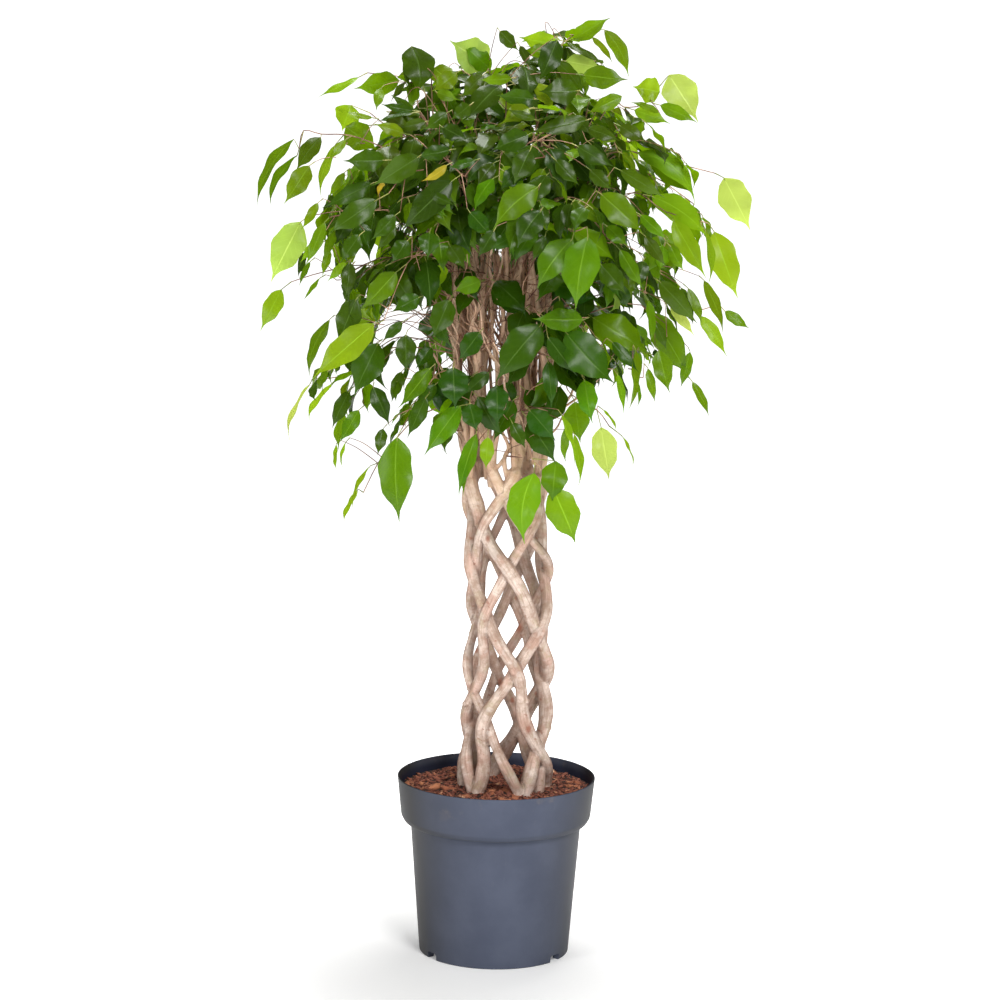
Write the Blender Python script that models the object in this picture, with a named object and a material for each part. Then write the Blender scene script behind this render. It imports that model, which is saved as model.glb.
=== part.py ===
"""Weeping fig with a woven trunk, growing in its nursery pot.

Metres, +Z up. The origin is the middle of the pot's underside, and the side that is seen first faces -Y.
Angles round the plant are degrees from that side, growing towards +X.
"""

import math
import random

import bmesh
import bpy
from mathutils import Vector
from mathutils.bvhtree import BVHTree

SEED = 24
CM = 0.01
FIT_GAP = 0.0003

# Pot
POT_SIDES = 28
POT_HEIGHT = 0.2445
RIM_RADIUS = 0.135
COLLAR_FOOT = 0.190
COLLAR_FOOT_RADIUS = 0.1295
BODY_TOP = 0.182
BODY_TOP_RADIUS = 0.1165
BASE_RADIUS = 0.103
WALL = 0.0025
FLOOR_UNDERSIDE = 0.010
FLOOR_TOP = 0.0125
FOOT_RING_WIDTH = 0.010
PAD_RADIUS = 0.014
PAD_DRAFT = 0.001
LIP_HEIGHT = 0.0025
LIP_CHAMFER = 0.0012
INNER_LEDGE_DROP = 0.0015
NOTCH_ANGLES = (-55, 55, 125, -125)
NOTCH_WIDTH = 0.020
NOTCH_HEIGHT = 0.0096
NOTCH_DEPTH = 0.030
DRAIN_ANGLES = (0, 90, 180, 270)
DRAIN_RADIUS = 0.007
DRAIN_PLACE = 0.070
CUT_OVERSHOOT = 0.004

# Soil
SOIL_EDGE = 0.2275
SOIL_DOME = 0.0045
SOIL_CHIP = 0.0018
SOIL_RINGS = (0.80, 0.45)
STEM_HOLE_GAP = 0.0005

# Woven trunk
STEMS_EACH_WAY = 5
WEAVE_PITCH = 0.70
WEAVE_RADIUS = 0.050
WEAVE_LIFT = 0.0045
FRONT_CROSSING = 0.541
STEM_FOOT = 0.175
STEM_TOP = 0.678
STEM_STEP = 0.0300
STEM_SIDES = 6
TRUNK_FACES_KEPT = 0.50
SOIL_LINE = 0.235
FOOT_SPREAD = 0.006
FOOT_SPREAD_TOP = 0.30
FOOT_SWELL = 0.12
FOOT_SWELL_TOP = 0.28
KNOT_SWELL = 0.10
HEAD_SWELL = 0.42
HEAD_SWELL_HEIGHTS = (0.60, 0.665)
HEAD_NARROWING = 0.72
# Between these heights the stems stop passing over and under each other
WEAVE_FOOT = (0.215, 0.285)
WEAVE_END = (0.62, 0.66)
# The trunk doesn't stand quite over the middle of the pot: its sideways place at a few heights
LEAN_HEIGHTS = (0.20, 0.50, 0.65, 0.85, 1.20)
LEAN = (0.010, 0.013, 0.005, -0.004, -0.004)
# How far each stem runs ahead of an even weave at these heights, in degrees. The stems of way 1 turn
# towards +X on their way down, and those of way -1 turn the other way.
LEAD_HEIGHTS = (0.24, 0.33, 0.40, 0.47, 0.54, 0.60, 0.66)
LEADS = {
    1: (
        (40, 30, 10, 7, 0, -16, -9),
        (43, 40, 39, 28, 8, -20, -23),
        (10, 10, 10, 10, 10, 5, 0),
        (7, 0, -18, -10, 0, 0, 0),
        (10, -3, 13, -3, 0, 20, 8),
    ),
    -1: (
        (20, 25, 26, -2, 0, 12, 10),
        (46, 3, 14, 28, 28, 20, 10),
        (45, 50, 30, 20, 10, 0, 0),
        (0, -10, -10, -10, -10, 0, 0),
        (-5, -10, -7, -5, 0, 7, 21),
    ),
}
STEM_RADII = {
    1: (0.0100, 0.0070, 0.0080, 0.0070, 0.0090),
    -1: (0.0080, 0.0092, 0.0095, 0.0072, 0.0080),
}

# Upright branches, which grow out of the heads of the stems
LEADERS_EACH_STEM = 3
LEADER_SIDES = 4
LEADER_STEPS = 4
LEADER_RADIUS = 0.0046
LEADER_END_RADIUS = 0.0016
LEADER_SPREAD = 12
LEADER_SCATTER = 3
LEADER_SWAY = 5
LEADER_SINK = 0.026
LEADER_PARTING = 0.10
GOLDEN_SHARE = 0.618034
LEADER_HEIGHTS = (0.66, 0.75, 0.90, 1.05, 1.16)
LEADER_REACH = (0.048, 0.058, 0.066, 0.080, 0.110)
LEADER_LOWEST_END = 0.90
LEADER_HIGHEST_END = 1.14

# Twigs and leaves
TWIG_SIDES = 3
TWIG_RADIUS = 0.0021
TWIG_END_RADIUS = 0.0012
TWIG_GAP = 0.0004
KNEE_REACH = 0.010
KNEE_RISE = 0.003
STALK_RADIUS = 0.0009
STALK_LENGTH = 0.011
BLADE_THICKNESS = 0.0014
BLADE_FOLD = 0.26
BLADE_WAVE = 0.05
CLEARANCE = 0.0016
LEAF_LENGTH = (0.062, 0.080)
LEAF_SLENDERNESS = (0.46, 0.54)
LONG_LEAF = 0.070
# Half widths along a blade, as shares of its length and of its half width
FEW_STATIONS = ((0.30, 0.95), (0.68, 0.66))
MORE_STATIONS = ((0.22, 0.80), (0.50, 1.0), (0.79, 0.42))
SPRAY_FACES_KEPT = 0.84

# Sprays that show on the outline or in front: name, depth towards the back, and for each large leaf the
# place of its base and of its tip, sideways and up, all in centimetres
SEEN_SPRAYS = (
    ("top_left_reach", 1, ((-22.5, 110.5, -25.0, 105.0), (-25.5, 110.5, -29.0, 102.0),
                           (-28.0, 111.0, -34.0, 102.0), (-28.5, 108.5, -32.0, 102.0))),
    ("top_left_brow", 4, ((-14.5, 118.5, -20.5, 117.5), (-20.0, 119.0, -25.5, 117.0))),
    ("left_brow", 4, ((-17.5, 112.0, -21.5, 109.5), (-19.5, 113.5, -22.5, 111.5))),
    ("left_crest", -5, ((-11.5, 118.0, -13.0, 123.5),)),
    ("top_crest", 2, ((-4.0, 119.5, -6.0, 123.5), (-3.0, 120.0, -5.0, 124.0))),
    ("right_top", 0, ((7.5, 121.5, 12.5, 121.5), (8.5, 124.5, 13.5, 128.0), (11.0, 125.0, 15.5, 120.5))),
    ("right_crest", -3, ((14.0, 116.5, 9.5, 114.5), (16.5, 115.5, 21.5, 113.5),
                         (18.5, 117.0, 18.5, 121.0), (21.0, 118.0, 25.5, 114.5))),
    ("right_shoulder", -2, ((17.0, 109.5, 25.5, 103.5), (19.0, 109.0, 25.0, 104.5),
                            (28.5, 106.5, 32.5, 100.0))),
    ("right_reach", -4, ((19.0, 104.0, 27.0, 99.0), (22.0, 101.5, 26.5, 94.0), (27.5, 100.0, 30.5, 91.0))),
    ("right_edge", 4, ((26.5, 87.5, 30.0, 82.0), (30.0, 88.5, 33.0, 86.0))),
    ("right_fall", -8, ((12.0, 88.5, 19.5, 84.0), (19.0, 89.5, 25.0, 80.5), (25.0, 80.5, 28.0, 75.5))),
    ("right_hang", -9, ((9.5, 77.5, 10.5, 72.0), (13.0, 75.5, 14.5, 67.5), (15.0, 73.5, 18.5, 68.5))),
    ("front_low", -10, ((3.0, 75.5, 7.0, 69.0), (4.5, 69.0, 6.5, 64.0), (4.5, 68.5, 3.5, 58.5),
                        (7.0, 66.5, 10.0, 58.5))),
    ("front_left_low", -11, ((-5.0, 76.5, -10.5, 70.5), (-3.5, 74.5, -6.0, 65.5), (-2.0, 73.0, -2.5, 68.0))),
    ("left_bright", -12, ((-13.5, 73.0, -13.0, 61.5),)),
    ("left_tail", 0, ((-17.5, 66.5, -19.5, 62.5), (-19.5, 62.5, -21.5, 59.5))),
    ("left_fall", 2, ((-23.0, 78.0, -27.0, 73.0), (-26.5, 77.5, -30.0, 70.0))),
    ("left_light", -8, ((-26.5, 100.5, -30.5, 93.0),)),
    ("left_edge", 3, ((-29.5, 90.5, -32.0, 85.5),)),
    ("middle_left", -16, ((-13.5, 95.5, -18.5, 90.5), (-16.5, 88.0, -22.5, 82.0))),
    ("front_left_top", -20, ((-6.5, 107.5, -14.0, 101.0), (-11.0, 110.5, -17.0, 106.5),
                             (-16.0, 105.0, -23.0, 100.5))),
    ("front_right", -22, ((8.5, 100.5, 4.0, 94.0), (10.5, 101.0, 9.5, 91.5))),
    ("front_middle", -16, ((4.5, 88.5, -1.0, 81.0), (6.0, 88.0, 10.0, 82.0), (8.5, 88.5, 15.0, 81.5),
                           (10.5, 89.5, 4.0, 90.0))),
    ("front_centre", -11, ((-3.0, 93.5, -7.0, 92.0),)),
    ("front_drop", -12, ((10.5, 81.0, 11.5, 74.5),)),
)
# The other sprays, in tiers: name, number, height and reach of the twigs' ends, first angle
TIERS = (
    ("crest", 5, 1.19, 0.12, 150),
    ("upper", 7, 1.11, 0.21, 20),
    ("shoulder", 7, 1.02, 0.27, 100),
    ("middle", 6, 0.92, 0.27, 60),
    ("lower", 5, 0.80, 0.24, 130),
)
OPEN_FRONT = 38
# Lengths of twig between its root, knee, arch and end
RULE_SPANS = (1, 2, 3, 1)


def clear_scene():
    for thing in list(bpy.data.objects):
        bpy.data.objects.remove(thing, do_unlink=True)


def make_material(name, colour, roughness):
    material = bpy.data.materials.new(name)
    material.use_nodes = True
    shader = material.node_tree.nodes["Principled BSDF"]
    shader.inputs["Base Color"].default_value = (*colour, 1.0)
    shader.inputs["Roughness"].default_value = roughness
    shader.inputs["Metallic"].default_value = 0.0
    material.diffuse_color = (*colour, 1.0)
    return material


def make_object(name, shape, material=None):
    points, faces = shape
    mesh = bpy.data.meshes.new(name)
    mesh.from_pydata([tuple(p) for p in points], [], faces)
    mesh.update()
    thing = bpy.data.objects.new(name, mesh)
    bpy.context.scene.collection.objects.link(thing)
    if material:
        mesh.materials.append(material)
    return thing


def between(x, xs, ys):
    """The value at x of a smooth curve through hand-chosen points."""
    last = len(xs) - 1
    if x <= xs[0]:
        return ys[0]
    if x >= xs[last]:
        return ys[last]
    i = max(k for k in range(last) if xs[k] <= x)
    u = (x - xs[i]) / (xs[i + 1] - xs[i])
    start, end = ys[i], ys[i + 1]
    slope_in = (end - ys[max(i - 1, 0)]) / 2
    slope_out = (ys[min(i + 2, last)] - start) / 2
    return (
        (2 * u**3 - 3 * u**2 + 1) * start
        + (u**3 - 2 * u**2 + u) * slope_in
        + (3 * u**2 - 2 * u**3) * end
        + (u**3 - u**2) * slope_out
    )


def eased(x, low, high):
    u = min(max((x - low) / (high - low), 0.0), 1.0)
    return u * u * (3 - 2 * u)


def outward(angle):
    """The level direction at an angle in degrees from the front."""
    return Vector((math.sin(math.radians(angle)), -math.cos(math.radians(angle)), 0.0))


def trunk_axis(z):
    return Vector((between(z, LEAN_HEIGHTS, LEAN), 0.0, z))


def faces_out(points, faces):
    """The shape with its faces turned outwards."""
    volume = sum(points[a].dot(points[b].cross(points[c])) for a, b, c in faces)
    return (points, faces) if volume > 0 else (points, [face[::-1] for face in faces])


def tube(points, radii, sides, first_axis=None, pointed=False):
    """A closed tube of triangles along points. A pointed one ends in its last point."""
    count = len(points)
    tangents = [
        (points[min(i + 1, count - 1)] - points[max(i - 1, 0)]).normalized() for i in range(count)
    ]
    if first_axis:
        tangents[0] = first_axis.normalized()
    normal = tangents[0].orthogonal().normalized()
    corners, faces = [], []
    rings = count - 1 if pointed else count
    for i in range(rings):
        if i:
            normal = (tangents[i - 1].rotation_difference(tangents[i]) @ normal).normalized()
        across = tangents[i].cross(normal)
        for k in range(sides):
            turn = 2 * math.pi * k / sides
            corners.append(points[i] + (normal * math.cos(turn) + across * math.sin(turn)) * radii[i])
    for i in range(rings - 1):
        for k in range(sides):
            a, b = i * sides + k, i * sides + (k + 1) % sides
            faces += [(a, b, b + sides), (a, b + sides, a + sides)]
    faces += [(0, k + 1, k) for k in range(1, sides - 1)]
    end = (rings - 1) * sides
    if pointed:
        corners.append(points[-1])
        faces += [(end + k, end + (k + 1) % sides, len(corners) - 1) for k in range(sides)]
    else:
        faces += [(end, end + k, end + k + 1) for k in range(1, sides - 1)]
    return faces_out(corners, faces)


def turned(profile, sides):
    """A closed body of revolution. The profile runs up the outside and back down, axis to axis."""
    points, faces, rings = [], [], []
    for radius, z in profile:
        if radius == 0:
            rings.append([len(points)] * sides)
            points.append(Vector((0.0, 0.0, z)))
            continue
        rings.append([len(points) + k for k in range(sides)])
        for k in range(sides):
            points.append(outward(360 * k / sides) * radius + Vector((0.0, 0.0, z)))
    for low, high in zip(rings, rings[1:]):
        for k in range(sides):
            j = (k + 1) % sides
            corners = (low[k], low[j], high[j], high[k])
            faces += [
                three
                for three in ((corners[0], corners[1], corners[2]), (corners[0], corners[2], corners[3]))
                if len(set(three)) == 3
            ]
    return faces_out(points, faces)


def box_at(centre, along, across, size):
    """A level box: its middle, two level directions, and its size along, across and up."""
    points = [
        centre + along * (size[0] * a / 2) + across * (size[1] * b / 2) + Vector((0, 0, size[2] * c / 2))
        for a in (-1, 1)
        for b in (-1, 1)
        for c in (-1, 1)
    ]
    faces = []
    for a, b, c, d in ((0, 1, 3, 2), (4, 6, 7, 5), (0, 4, 5, 1), (2, 3, 7, 6), (0, 2, 6, 4), (1, 5, 7, 3)):
        faces += [(a, b, c), (a, c, d)]
    return faces_out(points, faces)


def keep_largest_body(mesh):
    """Drops loose scraps and the skins of sealed hollows, which a Boolean can leave."""
    shape = bmesh.new()
    shape.from_mesh(mesh)
    bmesh.ops.triangulate(shape, faces=shape.faces)
    left = set(shape.faces)
    bodies = []
    while left:
        stack = [left.pop()]
        body = list(stack)
        while stack:
            for edge in stack.pop().edges:
                for face in edge.link_faces:
                    if face in left and len(edge.link_faces) == 2:
                        left.remove(face)
                        stack.append(face)
                        body.append(face)
        volume = sum(
            face.verts[0].co.dot(face.verts[1].co.cross(face.verts[2].co)) for face in body
        )
        bodies.append((volume, body))
    bodies.sort(key=lambda pair: pair[0])
    for _, body in bodies[:-1]:
        bmesh.ops.delete(shape, geom=body, context="FACES")
    shape.to_mesh(mesh)
    shape.free()


def apply_boolean(thing, shapes, operation, solver="EXACT"):
    """Joins shapes to an object, or cuts them from it, with one Boolean on a collection."""
    helpers = bpy.data.collections.new("helpers")
    bpy.context.scene.collection.children.link(helpers)
    for i, shape in enumerate(shapes):
        helper = make_object(f"helper_{i}", shape)
        bpy.context.scene.collection.objects.unlink(helper)
        helpers.objects.link(helper)
    modifier = thing.modifiers.new("Join", "BOOLEAN")
    modifier.operation = operation
    modifier.operand_type = "COLLECTION"
    modifier.collection = helpers
    modifier.solver = solver
    graph = bpy.context.evaluated_depsgraph_get()
    result = bpy.data.meshes.new_from_object(thing.evaluated_get(graph))
    thing.modifiers.remove(modifier)
    old = thing.data
    thing.data = result
    bpy.data.meshes.remove(old)
    result.name = thing.name
    for helper in list(helpers.objects):
        mesh = helper.data
        bpy.data.objects.remove(helper, do_unlink=True)
        bpy.data.meshes.remove(mesh)
    bpy.data.collections.remove(helpers)
    keep_largest_body(result)


def runs_through_itself(points, faces):
    """Whether two faces that share no corner cross."""
    tree = BVHTree.FromPolygons(points, faces)
    return any(not set(faces[a]) & set(faces[b]) for a, b in tree.overlap(tree))


def shade_smooth(thing, sharp_angle):
    thing.data.shade_smooth()
    thing.data.set_sharp_from_angle(angle=math.radians(sharp_angle))


# Pot and soil


def inner_wall(z):
    """Inner radius of the pot at a height."""
    if z > COLLAR_FOOT:
        u = (z - COLLAR_FOOT) / (POT_HEIGHT - COLLAR_FOOT)
        return COLLAR_FOOT_RADIUS + (RIM_RADIUS - COLLAR_FOOT_RADIUS) * u - WALL
    u = (z - FLOOR_TOP) / (BODY_TOP - FLOOR_TOP)
    return BASE_RADIUS + (BODY_TOP_RADIUS - BASE_RADIUS) * min(u, 1.0) - WALL


def build_pot():
    ring_inside = BASE_RADIUS - FOOT_RING_WIDTH
    profile = (
        (0, 0),
        (PAD_RADIUS, 0),
        (PAD_RADIUS + PAD_DRAFT, FLOOR_UNDERSIDE),
        (ring_inside - 2 * PAD_DRAFT, FLOOR_UNDERSIDE),
        (ring_inside, 0),
        (BASE_RADIUS - PAD_DRAFT, 0),
        (BODY_TOP_RADIUS, BODY_TOP),
        (COLLAR_FOOT_RADIUS, COLLAR_FOOT),
        (RIM_RADIUS, POT_HEIGHT - LIP_HEIGHT),
        (RIM_RADIUS - LIP_CHAMFER, POT_HEIGHT),
        (RIM_RADIUS - WALL - PAD_DRAFT / 2, POT_HEIGHT),
        (COLLAR_FOOT_RADIUS - WALL, COLLAR_FOOT - INNER_LEDGE_DROP),
        (inner_wall(BODY_TOP), BODY_TOP - INNER_LEDGE_DROP),
        (inner_wall(FLOOR_TOP), FLOOR_TOP),
        (0, FLOOR_TOP),
    )
    material = make_material("pot plastic", (0.085, 0.100, 0.130), 0.42)
    pot = make_object("pot", turned(profile, POT_SIDES), material)
    cutters = []
    for angle in NOTCH_ANGLES:
        away, across = outward(angle), outward(angle + 90)
        size = (NOTCH_DEPTH, NOTCH_WIDTH, 2 * NOTCH_HEIGHT)
        cutters.append(box_at(away * BASE_RADIUS, away, across, size))
    for angle in DRAIN_ANGLES:
        place = outward(angle) * DRAIN_PLACE
        heights = (FLOOR_UNDERSIDE - CUT_OVERSHOOT, FLOOR_TOP + CUT_OVERSHOOT)
        ends = [place + Vector((0, 0, z)) for z in heights]
        cutters.append(tube(ends, [DRAIN_RADIUS] * 2, 6))
    apply_boolean(pot, cutters, "DIFFERENCE")
    shade_smooth(pot, 35)
    return pot


def soil_height(x, y):
    """The soil's surface: a low dome with chips standing in it."""
    r = math.hypot(x, y) / inner_wall(SOIL_EDGE)
    chips = math.sin(190 * x + 60 * y) * math.sin(170 * y - 40 * x) + 0.6 * math.sin(310 * x - 250 * y)
    return SOIL_EDGE + SOIL_DOME * (1 - r * r) + SOIL_CHIP * chips * (1 - r**6)


def build_soil():
    gap = 2 * FIT_GAP
    edge = inner_wall(SOIL_EDGE) - gap
    profile = [
        (0, FLOOR_TOP + FIT_GAP),
        (inner_wall(FLOOR_TOP) - gap, FLOOR_TOP + FIT_GAP),
        (inner_wall(BODY_TOP) - gap, BODY_TOP - INNER_LEDGE_DROP + gap),
        (COLLAR_FOOT_RADIUS - WALL - gap, COLLAR_FOOT - INNER_LEDGE_DROP + gap),
        (edge, SOIL_EDGE),
    ]
    profile += [(edge * share, SOIL_EDGE) for share in SOIL_RINGS] + [(0, SOIL_EDGE)]
    points, faces = turned(profile, POT_SIDES)
    for point in points:
        if point.z >= SOIL_EDGE - 1e-6:
            point.z = soil_height(point.x, point.y)
    material = make_material("bark and coir", (0.150, 0.055, 0.030), 0.95)
    soil = make_object("soil", (points, faces), material)
    holes = []
    for way in (1, -1):
        for index in range(STEMS_EACH_WAY):
            path, radii = stem_path(way, index)
            inside = [i for i, point in enumerate(path) if point.z < SOIL_LINE + STEM_STEP * 1.3]
            path, radii = [path[i].copy() for i in inside], [radii[i] + STEM_HOLE_GAP for i in inside]
            path[0].z -= STEM_HOLE_GAP
            holes.append(tube(path, radii, STEM_SIDES))
    apply_boolean(soil, holes, "DIFFERENCE")
    shade_smooth(soil, 50)
    return soil


# Woven trunk


def stem_angle(way, index, z):
    """Where round the trunk a stem is at a height, in degrees."""
    depth = FRONT_CROSSING - max(z, SOIL_LINE)
    even = 360 / STEMS_EACH_WAY * index + way * 360 * depth / WEAVE_PITCH
    return even + between(max(z, SOIL_LINE), LEAD_HEIGHTS, LEADS[way][index])


def stem_point(way, index, z):
    row = WEAVE_PITCH / (2 * STEMS_EACH_WAY)
    lift = WEAVE_LIFT * way * math.cos(math.pi * (z - FRONT_CROSSING) / row)
    lift *= eased(z, *WEAVE_FOOT) * (1 - eased(z, *WEAVE_END))
    radius = WEAVE_RADIUS + lift + FOOT_SPREAD * (1 - eased(z, SOIL_LINE, FOOT_SPREAD_TOP))
    return trunk_axis(z) + outward(stem_angle(way, index, z)) * radius


def stem_thickness(way, index, z):
    row = WEAVE_PITCH / (2 * STEMS_EACH_WAY)
    knot = math.cos(math.pi * (z - FRONT_CROSSING) / row) ** 2
    swell = 1 + KNOT_SWELL * knot + FOOT_SWELL * (1 - eased(z, SOIL_LINE, FOOT_SWELL_TOP))
    swell += HEAD_SWELL * eased(z, *HEAD_SWELL_HEIGHTS)
    return STEM_RADII[way][index] * swell


def stem_path(way, index):
    steps = round((STEM_TOP - STEM_FOOT) / STEM_STEP)
    heights = [STEM_FOOT + (STEM_TOP - STEM_FOOT) * i / steps for i in range(steps + 1)]
    radii = [stem_thickness(way, index, z) for z in heights]
    radii[-1] *= HEAD_NARROWING
    return [stem_point(way, index, z) for z in heights], radii


def leader_path(way, index, k, number):
    """One upright branch, from inside its stem's head up into the crown."""
    chance = random.Random(SEED * 1000 + number)
    foot_angle = stem_angle(way, index, STEM_TOP)
    own_angle = foot_angle + (k - (LEADERS_EACH_STEM - 1) / 2) * LEADER_SPREAD
    own_angle += chance.uniform(-LEADER_SCATTER, LEADER_SCATTER)
    share = (number * GOLDEN_SHARE) % 1
    end = LEADER_LOWEST_END + (LEADER_HIGHEST_END - LEADER_LOWEST_END) * share
    foot = STEM_TOP - LEADER_SINK
    sway = chance.uniform(-LEADER_SWAY, LEADER_SWAY)
    points, radii = [], []
    for i in range(LEADER_STEPS + 1):
        u = (i / LEADER_STEPS) ** 1.15
        z = foot + (end - foot) * u
        angle = foot_angle + (own_angle - foot_angle) * eased(z, foot, foot + LEADER_PARTING)
        angle += sway * math.sin(5 * u)
        reach = between(z, LEADER_HEIGHTS, LEADER_REACH)
        points.append(trunk_axis(z) + outward(angle) * reach)
        radii.append(LEADER_RADIUS + (LEADER_END_RADIUS - LEADER_RADIUS) * u)
    return points, radii


def all_leaders():
    leaders = []
    for way in (1, -1):
        for index in range(STEMS_EACH_WAY):
            for k in range(LEADERS_EACH_STEM):
                leaders.append(leader_path(way, index, k, len(leaders)))
    return leaders


def wood_shapes():
    """Every stem and leader as a closed tube."""
    shapes = []
    for way in (1, -1):
        for index in range(STEMS_EACH_WAY):
            path, radii = stem_path(way, index)
            shapes.append(tube(path, radii, STEM_SIDES))
    for path, radii in all_leaders():
        shapes.append(tube(path, radii, LEADER_SIDES))
    return shapes


def build_trunk():
    first, *others = wood_shapes()
    material = make_material("pale bark", (0.420, 0.290, 0.215), 0.75)
    trunk = make_object("woven_trunk", first, material)
    apply_boolean(trunk, others, "UNION")
    thinner = trunk.modifiers.new("Fewer faces", "DECIMATE")
    thinner.ratio = TRUNK_FACES_KEPT
    thinner.use_collapse_triangulate = True
    shade_smooth(trunk, 50)
    return trunk


# Leafy sprays


class Leaf:
    """One leaf: the point of the twig that it grows from, and its blade's place, directions and size."""

    def __init__(self, node, base, ahead, face, length, width, curl):
        self.node = node
        self.base = base
        self.ahead = ahead.normalized()
        self.face = (face - self.ahead * face.dot(self.ahead)).normalized()
        self.side = self.ahead.cross(self.face)
        self.length = length
        self.width = width
        self.curl = curl

    def rib(self, t):
        """The point of the midrib at a share t of the blade's length."""
        drop = self.curl * self.length * t * t
        return self.base + self.ahead * (self.length * t) - self.face * drop


def blade_shape(leaf, stations, thickness, grow=0.0, stalk=True):
    """A folded and waved blade, thickest at its midrib, on a three-sided stalk."""
    points = []
    if stalk:
        along = (leaf.base - leaf.node).normalized()
        across = along.cross(leaf.face)
        across = across.normalized() if across.length > 0.2 else leaf.side
        down = along.cross(across)
        thin = STALK_RADIUS * 0.7 + grow
        points += [leaf.node + across * thin, leaf.node - across * thin, leaf.node + down * thin]
    thick = STALK_RADIUS + grow
    points += [leaf.base + leaf.side * thick, leaf.base - leaf.side * thick, leaf.base - leaf.face * thick]
    first = len(points) - 3
    faces = [(0, 2, 1)]
    if stalk:
        for i in range(3):
            j = (i + 1) % 3
            faces += [(i, j, j + 3), (i, j + 3, i + 3)]
    for number, (t, share) in enumerate(stations):
        middle = leaf.rib(t)
        half = leaf.width / 2 * share + grow
        rise = half * BLADE_FOLD
        wave = BLADE_WAVE * half * (1 if number % 2 else -1)
        points += [
            middle + leaf.side * half + leaf.face * (rise + wave),
            middle + leaf.face * (thickness / 2 + grow),
            middle - leaf.side * half + leaf.face * (rise - wave),
            middle - leaf.face * (thickness / 2 + grow),
        ]
    left, right, below = first, first + 1, first + 2
    left_2, top_2, right_2, below_2 = range(first + 3, first + 7)
    faces += [(left, right, top_2), (left, top_2, left_2), (right, right_2, top_2)]
    faces += [(right, below, below_2), (right, below_2, right_2)]
    faces += [(below, left, left_2), (below, left_2, below_2)]
    start = first + 3
    for _ in stations[1:]:
        la, ta, ra, ba = range(start, start + 4)
        lb, tb, rb, bb = range(start + 4, start + 8)
        faces += [(la, ta, tb), (la, tb, lb), (ta, ra, tb), (ra, rb, tb)]
        faces += [(ra, ba, bb), (ra, bb, rb), (ba, la, bb), (la, lb, bb)]
        start += 4
    points.append(leaf.rib(1.0) + leaf.ahead * grow)
    tip = len(points) - 1
    faces += [(start + i, start + (i + 1) % 4, tip) for i in range(4)]
    return faces_out(points, faces)


class Crown:
    """What already grows, so that nothing new grows through it."""

    def __init__(self):
        self.things = []

    def add(self, shape):
        points, faces = shape
        low = [min(p[i] for p in points) for i in range(3)]
        high = [max(p[i] for p in points) for i in range(3)]
        self.things.append((BVHTree.FromPolygons(points, faces), low, high))

    def is_clear(self, shape, leave_out=None):
        points, faces = shape
        low = [min(p[i] for p in points) for i in range(3)]
        high = [max(p[i] for p in points) for i in range(3)]
        tree = BVHTree.FromPolygons(points, faces)
        for thing in self.things:
            other, other_low, other_high = thing
            if thing is leave_out:
                continue
            if any(low[i] > other_high[i] or high[i] < other_low[i] for i in range(3)):
                continue
            if tree.overlap(other):
                return False
        return True


def smooth_path(points, steps):
    """Points of a smooth curve through these, with so many steps in each span."""
    path = [points[0]]
    for i, count in enumerate(steps):
        before, start = points[max(i - 1, 0)], points[i]
        end, after = points[i + 1], points[min(i + 2, len(points) - 1)]
        for k in range(1, count + 1):
            u = k / count
            path.append(
                start * (2 * u**3 - 3 * u**2 + 1)
                + (end - before) * ((u**3 - 2 * u**2 + u) / 2)
                + end * (3 * u**2 - 2 * u**3)
                + (after - start) * ((u**3 - u**2) / 2)
            )
    return path


def twig_radii(count):
    return [TWIG_RADIUS + (TWIG_END_RADIUS - TWIG_RADIUS) * i / (count - 1) for i in range(count)]


def roots_near(leaders, wood, angle, height):
    """Places on the leaders' outer sides near an angle and a height, the nearest first."""
    found = []
    for path, _ in leaders:
        for rise in (0.0, -0.025, 0.025, -0.05, 0.05, -0.09):
            z = height + rise
            if not path[0].z + 0.04 < z < path[-1].z - 0.012:
                continue
            i = max(k for k in range(len(path) - 1) if path[k].z <= z)
            centre = path[i].lerp(path[i + 1], (z - path[i].z) / (path[i + 1].z - path[i].z))
            away = centre - trunk_axis(z)
            own = math.degrees(math.atan2(away.x, -away.y))
            turn = (own - angle + 180) % 360 - 180
            if abs(turn) > 50:
                continue
            direction = outward(angle + turn * 0.5)
            hit, normal, _, _ = wood.ray_cast(centre + direction * 0.05, -direction)
            if hit and normal.dot(direction) > 0.5 and (hit - centre).length < 0.02:
                found.append((abs(turn) + 600 * abs(rise), hit, normal))
    found.sort(key=lambda root: root[0])
    return [(hit, normal) for _, hit, normal in found]


def grow_twig(crown, leaders, wood, targets, end_turn, height, arch, spans):
    """A twig from a leader through its targets, clear of all else: its points and shape, or None."""
    target = targets[0]
    away = target - trunk_axis(target.z)
    angle = math.degrees(math.atan2(away.x, -away.y))
    for hit, normal in roots_near(leaders, wood, angle, height)[:14]:
        start = hit + normal * TWIG_GAP
        knee = start + normal * KNEE_REACH + Vector((0, 0, KNEE_RISE))
        for lift in (arch, arch + 0.10, arch - 0.08, arch + 0.2):
            middle = knee.lerp(target, 0.5)
            middle.z += lift * (target - knee).length
            last = targets[-1] + end_turn
            path = smooth_path([start, knee, middle, *targets, last], spans)
            radii = twig_radii(len(path))
            shape = tube(path, radii, TWIG_SIDES, first_axis=normal, pointed=True)
            wide = tube(path[1:], [r + CLEARANCE for r in radii[1:]], TWIG_SIDES, pointed=True)
            if BVHTree.FromPolygons(*shape).overlap(wood) or runs_through_itself(*shape):
                continue
            if crown.is_clear(wide) and crown.is_clear(shape):
                return path, shape
    return None


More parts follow.
